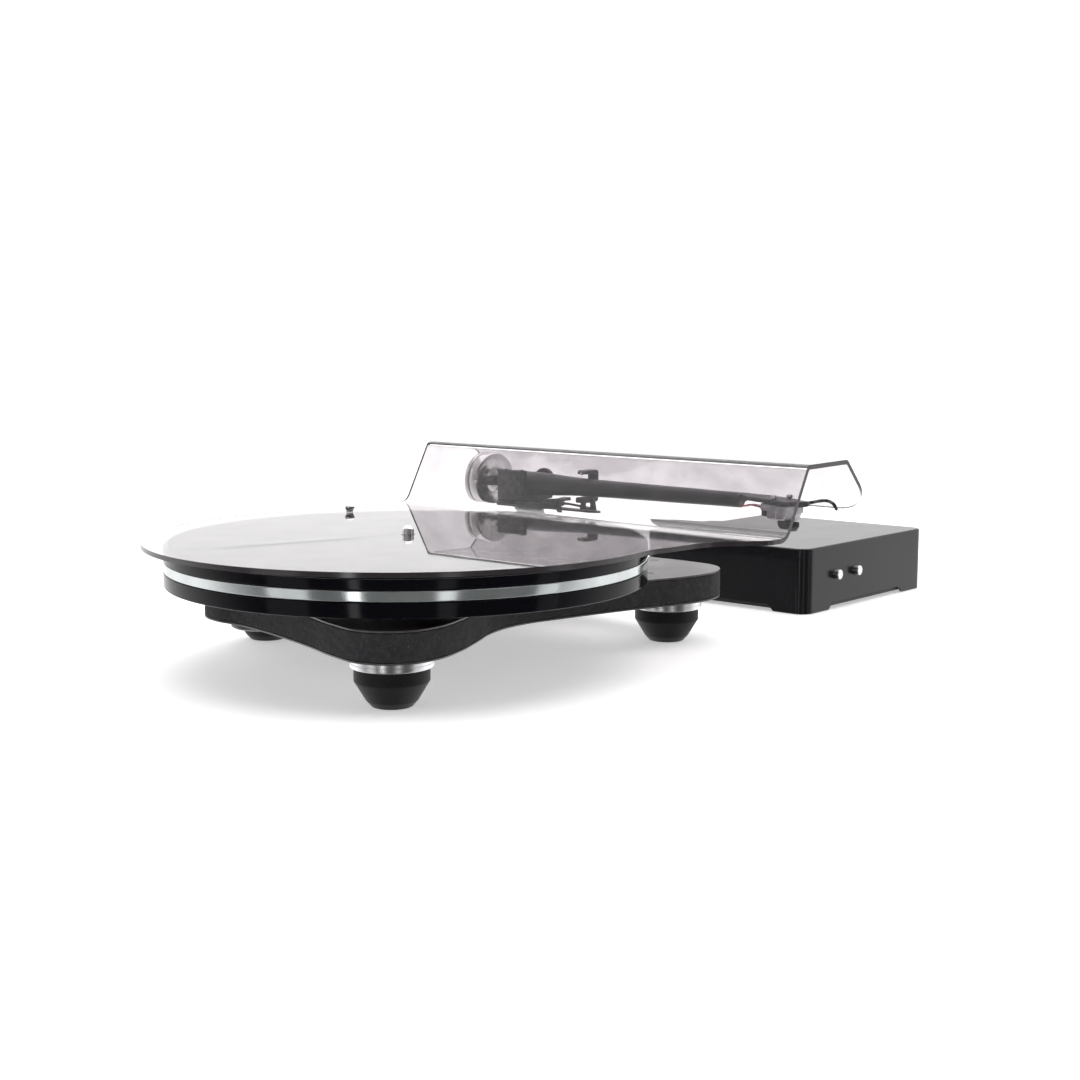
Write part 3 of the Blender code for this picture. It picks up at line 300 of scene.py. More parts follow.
lit = add(speckle, "ShaderNodeVectorMath", {0: tone.outputs["Result"], "Scale": shade.outputs["Result"]},
          operation="SCALE")
drift = add(speckle, "ShaderNodeMapRange", {"Value": slow.outputs["Fac"], "From Min": 0.3, "From Max": 0.7,
                                            "To Min": -1.0, "To Max": 1.0})
gloss = add(speckle, "ShaderNodeMath", {0: drift.outputs["Result"], 1: took.outputs["Gloss Drift"],
                                        2: took.outputs["Gloss"]}, operation="MULTIPLY_ADD")
speckle.links.new(lit.outputs[0], gave.inputs["Color"])
speckle.links.new(gloss.outputs[0], gave.inputs["Roughness"])
speckle.links.new(fine.outputs["Fac"], gave.inputs["Height"])

# Edge wear and painted edge highlight: where the piece's edge mask is high, broken up by noise, a paler tone
# shows. It stands for rubbed edges and also paints in the light that edges catch.
edge_wear_and_sheen, took, gave = effect(
    "edge wear and sheen",
    [("Edge", FLOAT, 0.0), ("Vector", VECTOR, None), ("Color", COLOUR, (0, 0, 0, 1)),
     ("Worn And Sheen", COLOUR, (0.3, 0.3, 0.3, 1)), ("Amount", FLOAT, 0.3)],
    [("Color", COLOUR), ("Mask", FLOAT)])
patches = add(edge_wear_and_sheen, "ShaderNodeTexNoise", {"Vector": took.outputs["Vector"], "Scale": 240.0,
                                                "Detail": 5.0})
broken = add(edge_wear_and_sheen, "ShaderNodeMapRange", {"Value": patches.outputs["Fac"], "From Min": 0.42,
                                               "From Max": 0.66})
mask = add(edge_wear_and_sheen, "ShaderNodeMath", {0: took.outputs["Edge"], 1: broken.outputs["Result"]},
           operation="MULTIPLY")
share = add(edge_wear_and_sheen, "ShaderNodeMath", {0: mask.outputs[0], 1: took.outputs["Amount"]},
            operation="MULTIPLY")
# The paler edge tone is part wear and part painted highlight.
worn_and_sheen = add(edge_wear_and_sheen, "ShaderNodeMix", {"Factor": share.outputs[0], "A": took.outputs["Color"],
                                        "B": took.outputs["Worn And Sheen"]}, data_type="RGBA")
edge_wear_and_sheen.links.new(worn_and_sheen.outputs["Result"], gave.inputs["Color"])
edge_wear_and_sheen.links.new(share.outputs[0], gave.inputs["Mask"])

# Lathe lines: noise along the profile's length alone, so that its ridges run round the piece.
lathe_lines, took, gave = effect(
    "lathe lines",
    [("UV", VECTOR, None), ("Pitch", FLOAT, 9000.0), ("Gloss", FLOAT, 0.2), ("Gloss Drift", FLOAT, 0.1),
     ("Base", COLOUR, (0.8, 0.8, 0.8, 1)), ("Shade", COLOUR, (0.7, 0.7, 0.7, 1))],
    [("Color", COLOUR), ("Roughness", FLOAT), ("Height", FLOAT)])
along = add(lathe_lines, "ShaderNodeSeparateXYZ", {0: took.outputs["UV"]})
run = add(lathe_lines, "ShaderNodeMath", {0: along.outputs["Y"], 1: took.outputs["Pitch"]},
          operation="MULTIPLY")
ridge = add(lathe_lines, "ShaderNodeTexNoise", {"W": run.outputs[0], "Scale": 1.0, "Detail": 3.0},
            noise_dimensions="1D")
ridge_tone = add(lathe_lines, "ShaderNodeMix", {"Factor": ridge.outputs["Fac"], "A": took.outputs["Base"],
                                                "B": took.outputs["Shade"]}, data_type="RGBA")
ridge_gloss = add(lathe_lines, "ShaderNodeMath", {0: ridge.outputs["Fac"], 1: took.outputs["Gloss Drift"],
                                                  2: took.outputs["Gloss"]}, operation="MULTIPLY_ADD")
lathe_lines.links.new(ridge_tone.outputs["Result"], gave.inputs["Color"])
lathe_lines.links.new(ridge_gloss.outputs[0], gave.inputs["Roughness"])
lathe_lines.links.new(ridge.outputs["Fac"], gave.inputs["Height"])


def place_effect(tree, group, inputs):
    """One use of a node group in a material, with its own values."""
    made = tree.nodes.new("ShaderNodeGroup")
    made.node_tree = group
    for key, value in inputs.items():
        if isinstance(value, bpy.types.NodeSocket):
            tree.links.new(value, made.inputs[key])
        else:
            made.inputs[key].default_value = value
    return made


def opaque(colour):
    """A colour with a full alpha value."""
    return (*colour, 1.0)


def speckled(name, base, fleck_colour, gloss_value, scale=900.0, cover=0.2, drift_value=0.04, bump=0.1,
             depth=0.00004, metallic=0.0, specular=0.5, worn_and_sheen_colour=None, wear_and_sheen=0.0, coat=0.0, coat_gloss=0.1):
    """A painted, moulded or anodised finish: speckle, and edge wear with a painted edge highlight, on one
    Principled shader.
    """
    made = bpy.data.materials.new(name)
    made.use_nodes = True
    tree = made.node_tree
    shader = tree.nodes["Principled BSDF"]
    where = add(tree, "ShaderNodeTexCoord").outputs["Object"]
    specks = place_effect(tree, speckle, {"Vector": where, "Base": opaque(base),
                                          "Fleck": opaque(fleck_colour), "Scale": scale, "Cover": cover,
                                          "Gloss": gloss_value, "Gloss Drift": drift_value})
    edge = add(tree, "ShaderNodeAttribute", attribute_name="edge")
    # Paler edges: worn finish and also a painted highlight where edges catch the light.
    worn_and_lit_edges = place_effect(tree, edge_wear_and_sheen, {"Edge": edge.outputs["Fac"], "Vector": where,
                                          "Color": specks.outputs["Color"],
                                          "Worn And Sheen": opaque(worn_and_sheen_colour or fleck_colour), "Amount": wear_and_sheen})
    relief = add(tree, "ShaderNodeBump", {"Height": specks.outputs["Height"], "Strength": bump,
                                          "Distance": depth})
    tree.links.new(worn_and_lit_edges.outputs["Color"], shader.inputs["Base Color"])
    tree.links.new(specks.outputs["Roughness"], shader.inputs["Roughness"])
    tree.links.new(relief.outputs["Normal"], shader.inputs["Normal"])
    shader.inputs["Metallic"].default_value = metallic
    shader.inputs["Specular IOR Level"].default_value = specular
    shader.inputs["Coat Weight"].default_value = coat
    shader.inputs["Coat Roughness"].default_value = coat_gloss
    return made


def lathed(name, base, shade_colour, gloss_value, drift_value=0.1, pitch=9000.0, bump=0.15, depth=0.00002):
    """A turned and polished metal, with fine lines that run round the piece."""
    made = bpy.data.materials.new(name)
    made.use_nodes = True
    tree = made.node_tree
    shader = tree.nodes["Principled BSDF"]
    where = add(tree, "ShaderNodeUVMap", uv_map="UVMap").outputs["UV"]
    lines = place_effect(tree, lathe_lines, {"UV": where, "Pitch": pitch, "Gloss": gloss_value,
                                             "Gloss Drift": drift_value, "Base": opaque(base),
                                             "Shade": opaque(shade_colour)})
    relief = add(tree, "ShaderNodeBump", {"Height": lines.outputs["Height"], "Strength": bump,
                                          "Distance": depth})
    tree.links.new(lines.outputs["Color"], shader.inputs["Base Color"])
    tree.links.new(lines.outputs["Roughness"], shader.inputs["Roughness"])
    tree.links.new(relief.outputs["Normal"], shader.inputs["Normal"])
    shader.inputs["Metallic"].default_value = 1.0
    return made


aluminium = lathed("polished aluminium", (0.92, 0.92, 0.93), (0.80, 0.80, 0.82), 0.24, 0.14)
rubber = speckled("moulded rubber", (0.009, 0.009, 0.010), (0.022, 0.022, 0.024), 0.55, scale=1500.0,
                  cover=0.26, bump=0.25, specular=0.22, wear_and_sheen=0.25)

for corner in ("front_left", "front_right", "rear"):
    low, high, middle, half_size = extent(f"foot_ring_{corner}")
    tall, wide = high[2] - low[2], half_size[0]
    ring = rounded([(wide * 0.5, 0), (wide, 0), (wide, tall * 0.46), (wide - RING_GROOVE, tall * 0.5),
                    (wide, tall * 0.54), (wide, tall), (wide * 0.5, tall)],
                   [0, RING_CHAMFER, 0.0001, 0.0001, 0.0001, RING_CHAMFER, 0], steps=4)
    piece(f"ring_{corner}", [skin(turned(ring, (*middle[:2], low[2])))], aluminium, "deck",
          [f"foot_ring_{corner}"])
    low, high, middle, half_size = extent(f"foot_rubber_{corner}")
    tall, wide = high[2] - low[2], half_size[0]
    cone = rounded([(wide * 0.30, 0), (wide * 0.53, 0), (wide * 0.69, tall * 0.17),
                    (wide * 0.935, tall * 0.56), (wide, tall * 0.66), (wide, tall), (wide * 0.5, tall)],
                   [0, RUBBER_SOFT * 2, RUBBER_SOFT * 4, RUBBER_SOFT, RUBBER_SOFT * 1.5, RUBBER_SOFT * 0.4,
                    0])
    piece(f"rubber_{corner}", [skin(turned(cone, (*middle[:2], low[2])))], rubber, "deck",
          [f"foot_rubber_{corner}"])

# ---- Plinth: painted foam core between two laminate skins -------------------------------
# A light foam core is routed to shape and its raw edge is painted with a thick dark texture.
# Thin satin laminate is pressed on both faces; two windows save weight.
CORE_GRAIN = 0.0011
CORE_RELIEF = 0.00014
OUTLINE_STEP = 0.0012
SKIN_SOFT = 0.0003


def rim_loops(node, level):
    """The closed edge lines of a frame node's flat face at that height, longest first; the outer
    one runs anticlockwise and holes run clockwise. An edge that only one triangle uses is rim."""
    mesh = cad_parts[node].data
    points = np.empty(len(mesh.vertices) * 3)
    mesh.vertices.foreach_get("co", points)
    points, same = np.unique(np.round(points.reshape(-1, 3), 6), axis=0, return_inverse=True)
    mesh.calc_loop_triangles()
    corners = np.empty(len(mesh.loop_triangles) * 3, int)
    mesh.loop_triangles.foreach_get("vertices", corners)
    corners = same.reshape(-1)[corners].reshape(-1, 3)
    flat = corners[np.abs(points[corners][:, :, 2] - level).max(1) < 2e-5]
    edges = np.concatenate([flat[:, [0, 1]], flat[:, [1, 2]], flat[:, [2, 0]]])
    key, twin = edges @ (len(points), 1), edges @ (1, len(points))
    follow = dict(edges[~np.isin(twin, key)].tolist())
    loops = []
    while follow:
        start, here = follow.popitem()
        loop = [start]
        while here != start:
            loop.append(here)
            here = follow.pop(here)
        loops.append(points[loop][:, :2])
    return sorted(loops, key=len, reverse=True)


def flowing(loop, spacing):
    """A closed smooth line through a loop's points, taken again at even spacing. Each run is the
    Hermite cubic of its ends and their headings: a heading is the mean of its two runs, weighted
    by their squared lengths, so that straight runs stay straight; past 40 degrees it is a corner."""
    ahead = np.roll(loop, -1, 0) - loop
    length = np.linalg.norm(ahead, axis=1)[:, None]
    along = ahead / length
    mean = np.roll(along * length**2, 1, 0) + along * length**2
    mean /= np.linalg.norm(mean, axis=1)[:, None]
    corner = ((np.roll(along, 1, 0) * along).sum(1) < math.cos(math.radians(40)))[:, None]
    leave, arrive = np.where(corner, along, mean), np.where(np.roll(corner, -1, 0), along,
                                                            np.roll(mean, -1, 0))
    t = np.linspace(0, 1, 8, endpoint=False)[None, :, None]
    here, there = loop[:, None], np.roll(loop, -1, 0)[:, None]
    dense = ((2 * t**3 - 3 * t**2 + 1) * here + (3 * t**2 - 2 * t**3) * there
             + ((t**3 - 2 * t**2 + t) * leave[:, None] + (t**3 - t**2) * arrive[:, None]) * length[:, None])
    dense = dense.reshape(-1, 2)
    dense = np.concatenate([dense, dense[:1]])
    run = np.concatenate([[0], np.cumsum(np.linalg.norm(np.diff(dense, axis=0), axis=1))])
    count = max(24, int(run[-1] / spacing))
    at = np.arange(count) * run[-1] / count
    return np.column_stack([np.interp(at, run, dense[:, k]) for k in (0, 1)])


def inward(loop):
    """Unit normals to the left of a closed line, each square to the line through its neighbours."""
    heading = np.roll(loop, -1, 0) - np.roll(loop, 1, 0)
    heading /= np.linalg.norm(heading, axis=1)[:, None]
    return np.column_stack([-heading[:, 1], heading[:, 0]])


def waves(points, size, seed, count=40):
    """Smooth noise near -1 to 1: the sum of sines along many seeded directions, over its spread."""
    rng = np.random.default_rng(seed)
    ways = rng.normal(size=(count, points.shape[-1]))
    ways *= (math.tau / size * rng.uniform(0.6, 1.5, count) / np.linalg.norm(ways, axis=1))[:, None]
    return np.sin(points @ ways.T + rng.uniform(0, math.tau, count)).sum(-1) / math.sqrt(count)


def edge_profile(low, high, soft, layers=1):
    """(inset, height) points up a slab's wall, with a quarter round of that radius at both rims
    and a narrow flat run inside them, so that the faces stay flat to the edge."""
    flat = [(1.5 * soft + 0.00005, low), (soft, low)]
    turn = np.linspace(0, math.pi / 2, 4)
    lower = [(soft * (1 - math.sin(a)), low + soft * (1 - math.cos(a))) for a in turn]
    upper = [(inset, low + high - level) for inset, level in reversed(lower)]
    between = [(0.0, level) for level in np.linspace(low + soft, high - soft, layers + 1)[1:-1]]
    return flat[:1] + lower + between + upper + [(flat[0][0], high)]


def slab(loops, low, high, soft, layers=1, relief=None):
    """A flat plate from its outer line and its holes' lines: each line climbs the edge profile as
    line + inset * normal, and both faces are filled between the innermost rings."""
    profile = np.array(edge_profile(low, high, soft, layers))
    points, corners, sizes, uv = [], [], [], []
    first, tops, bottoms = 0, [], []
    for loop in loops:
        into = inward(loop)
        plan = loop + profile[:, 0, None, None] * into
        rows = np.concatenate([plan, np.broadcast_to(profile[:, 1, None, None], (*plan.shape[:2], 1))], -1)
        if relief:
            wall = (profile[:, 0] == 0)[:, None, None]
            rows[..., :2] -= wall * relief(rows)[..., None] * into
        count, around = rows.shape[:2]
        made = skin(rows)
        quads = (count - 1) * around
        points.append(made[0])
        corners.append(made[1][:quads * 4] + first)
        sizes.append(made[2][:quads])
        uv.append(made[3][:quads * 4] * (around * OUTLINE_STEP, 1.0))
        bottoms.append(first + np.arange(around))
        tops.append(first + (count - 1) * around + np.arange(around))
        first += count * around
    points = np.concatenate(points)
    for rings, facing in ((tops, 1), (bottoms, -1)):
        lines = [[Vector((*points[i][:2], 0.0)) for i in ring] for ring in rings]
        index = np.concatenate(rings)
        fill = index[np.array(tessellate_polygon(lines))]
        a, b, c = (points[fill[:, k], :2] for k in range(3))
        area = np.cross(b - a, c - a) * facing
        fill[area < 0] = fill[area < 0][:, ::-1]
        corners.append(fill.ravel())
        sizes.append(np.full(len(fill), 3))
        uv.append(points[fill.ravel(), :2])
    return points, np.concatenate(corners), np.concatenate(sizes), np.concatenate(uv)


core_paint = speckled("textured edge paint", (0.020, 0.019, 0.021), (0.105, 0.100, 0.105), 0.78, scale=1300.0,
                      cover=0.20, bump=0.9, depth=0.00025, specular=0.35, wear_and_sheen=0.15)
laminate = speckled("satin laminate", (0.040, 0.034, 0.036), (0.075, 0.067, 0.069), 0.34, scale=2600.0,
                    cover=0.30, bump=0.08, specular=0.7, wear_and_sheen=0.5)

for node, soft, layers, finish in (("plinth_bottom_skin", SKIN_SOFT, 1, laminate),
                                   ("plinth_core", SKIN_SOFT, 16, core_paint),
                                   ("plinth_top_skin", SKIN_SOFT, 1, laminate)):
    low, high, _, _ = extent(node)
    lines = [flowing(loop, OUTLINE_STEP) for loop in rim_loops(node, high[2])]
    coarse = (lambda rows: CORE_RELIEF * waves(rows, CORE_GRAIN * 3, 5)) if node == "plinth_core" else None
    piece(node.replace("plinth", "deck"), [slab(lines, low[2], high[2], soft, layers, coarse)], finish,
          "deck", [node])

# Two blind fixing holes show on the front right of the top skin, closed by dark plugs.
plug_plastic = speckled("plug plastic", (0.006, 0.006, 0.006), (0.012, 0.012, 0.012), 0.5, bump=0.1)
deck_top = extent("plinth_top_skin")[1][2]
for name, place, radius in (("fixing_plug_large", (0.198, -0.044), 0.0032),
                            ("fixing_plug_small", (0.147, -0.079), 0.0022)):
    dish = rounded([(radius * 0.9, -0.0006), (radius, -0.0006), (radius, 0.0001), (radius * 0.8, 0.0001),
                    (radius * 0.6, -0.0002), (radius * 0.1, -0.0002)],
                   [0, 0.0001, 0.00005, 0.0001, 0.0002, 0], steps=3)
    piece(name, [skin(turned(dish, (*(axle + place), deck_top), steps=48))], plug_plastic, "deck")

# ---- Braces: two anodised bars from the bearing to the tonearm ---------------------------
# Flat bars cut from sheet and bonded above and under the plinth tie the main bearing to the
# tonearm's mounting, so that the distance between them can't change.
brace_metal = speckled("anodised brace", (0.045, 0.044, 0.048), (0.075, 0.074, 0.078), 0.36, scale=3200.0,
                       cover=0.3, bump=0.08, metallic=0.7, wear_and_sheen=0.7, worn_and_sheen_colour=(0.4, 0.4, 0.41))
for node in ("top_brace", "bottom_brace"):
    low, high, _, _ = extent(node)
    lines = [flowing(loop, OUTLINE_STEP) for loop in rim_loops(node, high[2])]
    piece(f"{node}_bar", [slab(lines, low[2], high[2], 0.0003)], brace_metal, "deck", [node])

# ---- Main bearing: brass housing, thrust ball and steel spindle --------------------------
# The housing is turned from brass and flanged over the brace. The hardened spindle stands on
# a ball in it, and its tip centres the record and the cover.
brass = lathed("turned brass", (0.80, 0.60, 0.28), (0.66, 0.47, 0.20), 0.22, 0.12)
steel = lathed("polished steel", (0.80, 0.79, 0.79), (0.66, 0.65, 0.65), 0.10, 0.10)

low, high, middle, half_size = extent("main_bearing_housing")
flange_reach, tall = half_size[0], high[2] - low[2]
shank, bore, flange_deep = flange_reach * 0.682, extent("spindle")[3][0] + 0.0001, 0.0020
well = 0.0036
housing = rounded([(0.0008, 0), (shank, 0), (shank, tall - flange_deep), (flange_reach, tall - flange_deep),
                   (flange_reach, tall), (bore, tall), (bore, well), (0.0008, well)],
                  [0, 0.0006, 0.0003, 0.0003, 0.0005, 0.0003, 0.0005, 0], steps=4)
piece("bearing_housing", [skin(turned(housing, (*middle[:2], low[2])))], brass, "deck",
      ["main_bearing_housing"])

low, high, middle, half_size = extent("bearing_thrust_ball")
arc = np.linspace(-math.pi / 2 + 0.02, math.pi / 2 - 0.02, 40)
ball = half_size[2] * np.column_stack([np.cos(arc), np.sin(arc)])
piece("thrust_ball", [skin(turned(ball, middle, steps=64))], steel, "deck", ["bearing_thrust_ball"])

low, high, middle, half_size = extent("spindle")
tip_radius, shaft_radius, shoulder = 0.0036, half_size[0], extent("sub_platter")[0][2] - 0.0003
tip = rounded([(0.0006, low[2]), (shaft_radius, low[2]), (shaft_radius, shoulder), (tip_radius, shoulder),
               (tip_radius, high[2] - 0.0020), (0.0020, high[2] - 0.0003), (0.0003, high[2])],
              [0, 0.0006, 0.0003, 0.0002, 0.0012, 0.0016, 0], steps=8)
piece("centre_spindle", [skin(turned(tip, (*middle[:2], 0.0), steps=96))], steel, "platter", ["spindle"])

# ---- Platter: three bonded layers of glass, with a felt mat ------------------------------
# A black glass ring hangs under a clear pale disc for weight at the rim, and a black glass
# disc tops them. All rims are ground and polished, with a small arris; a wool mat lies on top.
GLASS_ARRIS = 0.0007


def glazed(name, base, haze, gloss_value, specular=0.5, metallic=0.0, coat=0.0):
    """Polished glass or acrylic seen as a solid colour, with the faintest dust and drift in gloss, and a
    paler painted highlight along its rims.
    """
    return speckled(name, base, haze, gloss_value, scale=420.0, cover=0.13, drift_value=0.008, bump=0.0,
                    metallic=metallic, specular=specular, coat=coat, coat_gloss=0.02, wear_and_sheen=0.35,
                    worn_and_sheen_colour=haze)


black_glass = glazed("black glass", (0.003, 0.003, 0.0045), (0.010, 0.010, 0.012), 0.10, specular=0.12)
pale_glass = glazed("pale glass", (0.60, 0.64, 0.635), (0.66, 0.71, 0.70), 0.13, metallic=0.85)
felt = speckled("wool felt", (0.022, 0.021, 0.022), (0.090, 0.085, 0.088), 0.92, scale=2400.0, cover=0.34,
                bump=1.0, depth=0.0003, specular=0.1)

for node, finish, slot in (("platter_lower_glass", black_glass, "black_glass"),
                           ("platter_middle_glass", pale_glass, "pale_glass"),
                           ("platter_top_glass", black_glass, "black_glass")):
    low, high, middle, half_size = extent(node)
    hole = 0.1050 if node == "platter_lower_glass" else tip_radius + 0.0003
    reach = half_size[0]
    layer = rounded([(hole, low[2]), (reach, low[2]), (reach, high[2]), (hole, high[2])], GLASS_ARRIS, True)
    piece(node.replace("platter", "disc"), [skin(turned(layer, (*middle[:2], 0.0), steps=360), joined=True)],
          finish, "platter", [node])

low, high, middle, half_size = extent("platter_mat")
reach, hole = half_size[0], tip_radius + 0.0003
radii = np.linspace(hole + 0.0006, reach - 0.0008, 90)
top_side = np.column_stack([radii[::-1], np.full(90, high[2] - 0.00015)])
cloth = np.concatenate([[(hole, low[2] + 0.0004), (hole + 0.0004, low[2]), (reach - 0.0005, low[2]),
                         (reach, low[2] + 0.0006), (reach, high[2] - 0.0007),
                         (reach - 0.0003, high[2] - 0.0003)],
                        top_side, [(hole, high[2] - 0.0005)]])
rows = turned(cloth, (*middle[:2], 0.0), steps=240)
upper = (cloth[:, 1] > high[2] - 0.0003)[:, None]
rows[..., 2] += upper * 0.00014 * waves(rows, 0.0040, 11)
piece("felt_mat", [skin(rows, joined=True)], felt, "platter", ["platter_mat"])

# ---- Drive: sub-platter, pulley, two belts and the motor ---------------------------------
# Two round rubber belts run in V-bottomed grooves from the motor's small pulley to the large
# machined sub-platter. The motor hangs in the plinth in a rubber mounting ring.
BELT_RADIUS = 0.0013
GROOVE_DEEP = 0.0020
belt_levels = [extent(f"drive_belt_{which}")[2][2] for which in ("lower", "upper")]
motor_axis = extent("motor_body")[2][:2]


def grooved(rim, low_z, high_z, bore):
    """A drum's closed profile, with one round-lipped groove for each belt."""
    line, soft = [(bore, low_z), (rim, low_z)], [0.0003, 0.0004]
    for level in belt_levels:
        for inset, rise in ((0, -0.0016), (GROOVE_DEEP, -0.0012), (GROOVE_DEEP, 0.0012), (0, 0.0016)):
            line.append((rim - inset, level + rise))
            soft.append(0.0002 if inset == 0 else 0.0009)
    line += [(rim, high_z), (bore, high_z)]
    return rounded(line, soft + [0.0004, 0.0003], True, 4)


def swept(path, radii, sides=16, up=(0.0, 0.0, 1.0), closed=False):
    """Rings square to a path: point + radius * (cos t * side + sin t * rise), where side is up
    crossed with the path's heading, and rise is the heading crossed with side."""
    path = np.asarray(path, float)
    heading = np.roll(path, -1, 0) - np.roll(path, 1, 0)
    if not closed:
        heading[0], heading[-1] = path[1] - path[0], path[-1] - path[-2]
    heading /= np.linalg.norm(heading, axis=1)[:, None]
    side = np.cross(np.asarray(up, float), heading)
    side /= np.linalg.norm(side, axis=1)[:, None]
    rise = np.cross(heading, side)
    turn = np.linspace(0, math.tau, sides, endpoint=False)[:, None]
    radii = np.broadcast_to(np.asarray(radii, float), len(path))[:, None, None]
    return path[:, None] + radii * (np.cos(turn) * side[:, None] + np.sin(turn) * rise[:, None])


low, high, middle, half_size = extent("sub_platter")
drum_reach = half_size[0]
piece("belt_drum", [skin(turned(grooved(drum_reach, low[2], high[2], tip_radius + 0.0003), (*axle, 0.0),
                                steps=240),
                         joined=True)], aluminium, "platter", ["sub_platter"])

low, high, middle, half_size = extent("motor_pulley")
drive_low = extent("sub_platter")[0][2]
pulley = grooved(half_size[0], drive_low, high[2], 0.0020)
hub = rounded([(0.0003, low[2]), (0.0020, low[2]), (0.0020, high[2]), (0.0003, high[2])],
              [0, 0.0003, 0.0003, 0], steps=4)
piece("drive_pulley", [skin(turned(pulley, (*motor_axis, 0.0), steps=96), joined=True),
                       skin(turned(hub, (*motor_axis, 0.0), steps=48))],
      aluminium, "pulley", ["motor_pulley"])

belt_rubber = speckled("drive belt rubber", (0.020, 0.020, 0.022), (0.040, 0.040, 0.042), 0.6, bump=0.15)
belt_out = BELT_RADIUS + 0.0003 - GROOVE_DEEP
big, small = drum_reach + belt_out, extent("motor_pulley")[3][0] + belt_out
between = motor_axis - axle
span, heading = np.linalg.norm(between), math.atan2(between[1], between[0])
spread = math.acos((big - small) / span)
for which, level in zip(("lower", "upper"), belt_levels):
    wide_turn = np.linspace(heading + spread, heading + math.tau - spread, 160)
    tight_turn = np.linspace(heading - spread, heading + spread, 32)
    plan = np.concatenate([axle + big * np.column_stack([np.cos(wide_turn), np.sin(wide_turn)]),
                           motor_axis + small * np.column_stack([np.cos(tight_turn), np.sin(tight_turn)])])
    path = np.column_stack([plan, np.full(len(plan), level)])
    piece(f"belt_{which}", [skin(swept(path, BELT_RADIUS, 14, closed=True), joined=True)], belt_rubber,
          "deck", [f"drive_belt_{which}"])

motor_shell = speckled("motor shell", (0.10, 0.10, 0.105), (0.17, 0.17, 0.175), 0.38, scale=2200.0,
                       metallic=0.8, bump=0.1, wear_and_sheen=0.5, worn_and_sheen_colour=(0.5, 0.5, 0.5))
low, high, middle, half_size = extent("motor_body")
reach = half_size[0]
can = rounded([(0.0004, low[2]), (reach * 0.35, low[2]), (reach * 0.38, low[2] + 0.0008),
               (reach * 0.9, low[2] + 0.0008), (reach, low[2] + 0.0020), (reach, high[2] - 0.0016),
               (reach * 0.93, high[2]), (0.0024, high[2]), (0.0022, high[2] - 0.0045),
               (0.0004, high[2] - 0.0045)],
              [0, 0.0003, 0.0003, 0.0006, 0.0006, 0.0006, 0.0005, 0.0003, 0.0001, 0], steps=4)
piece("motor_can", [skin(turned(can, (*middle[:2], 0.0)))], motor_shell, "deck", ["motor_body"])
low, high, middle, half_size = extent("motor_mount_ring")
collar = rounded([(reach + 0.0003, low[2]), (half_size[0], low[2]), (half_size[0], high[2]),
                  (half_size[0] - 0.0030, high[2]), (half_size[0] - 0.0036, high[2] - 0.0005),
                  (reach + 0.0003, high[2] - 0.0005)], [0.0002, 0.0003, 0.0005, 0.0003, 0.0003, 0.0002], True,
                 4)
piece("motor_collar", [skin(turned(collar, (*middle[:2], 0.0)), joined=True)], rubber, "deck",
      ["motor_mount_ring"])

plastic = speckled("moulded plastic", (0.018, 0.018, 0.019), (0.032, 0.032, 0.034), 0.52, scale=2600.0,
                   bump=0.2, wear_and_sheen=0.2)
low, high, middle, half_size = extent("motor_socket")
flange_top = low[2] + 0.0016
jack = rounded([(0.0004, high[2]), (0.0004, high[2] - 0.0030), (0.0040, high[2] - 0.0030), (0.0040, low[2]),
                (half_size[0], low[2]), (half_size[0], flange_top), (0.0066, flange_top), (0.0066, high[2])],
               [0, 0, 0.0002, 0.0004, 0.0004, 0.0003, 0.0002, 0.0003], steps=4)
pin = rounded([(0.0002, low[2] + 0.0020), (0.0009, low[2] + 0.0020), (0.0009, high[2] - 0.0020),
               (0.0002, high[2] - 0.0020)], [0, 0.0007, 0, 0], steps=5)
piece("lead_socket", [skin(turned(jack[1:], (*middle[:2], 0.0), steps=72)),
                      skin(turned(pin, (*middle[:2], 0.0), steps=24))], plastic, "deck", ["motor_socket"])

# ---- Tonearm mounting: pillar, flange, nut, base plate and block --------------------------
# A steel pillar passes through plinth and braces and is clamped by a flange above and a hex
# nut below. A cast black plate with a tongue to the front carries the block and the rest.
THREAD_PITCH = 0.0010
arm_black = speckled("satin arm coating", (0.026, 0.025, 0.028), (0.060, 0.058, 0.062), 0.36, scale=2600.0,
                     cover=0.26, bump=0.14, metallic=0.25, wear_and_sheen=0.45, worn_and_sheen_colour=(0.14, 0.14, 0.145))
flange_metal = speckled("anodised flange", (0.035, 0.034, 0.037), (0.065, 0.064, 0.068), 0.30, scale=3000.0,
                        metallic=0.6, bump=0.08, wear_and_sheen=0.6, worn_and_sheen_colour=(0.35, 0.35, 0.36))


def ringed(loop_radius, centre, steps=96, clockwise=False):
    """A circle about a centre; clockwise where it bounds a hole."""
    turn = np.linspace(0, math.tau, steps, endpoint=False) * (-1 if clockwise else 1)
    return np.asarray(centre) + loop_radius * np.column_stack([np.cos(turn), np.sin(turn)])


low, high, middle, half_size = extent("arm_pillar")
reach, nut_top = half_size[0], extent("arm_pillar_nut")[1][2]
crests = np.arange(low[2] + 0.0008, nut_top, THREAD_PITCH / 2)
thread = [(reach - (0.0005 if number % 2 else 0.0), level) for number, level in enumerate(crests)]
pillar = [(0.0005, low[2]), (reach - 0.0008, low[2])] + thread + [(reach, nut_top + 0.0006), (reach, high[2]),
                                                                  (reach * 0.60, high[2]),
                                                                  (0.0060, high[2] - 0.0006),
                                                                  (0.0060, 0.0560), (0.0005, 0.0560)]
piece("mounting_pillar", [skin(turned(pillar, (*middle[:2], 0.0), steps=96))], flange_metal, "deck",
      ["arm_pillar"])

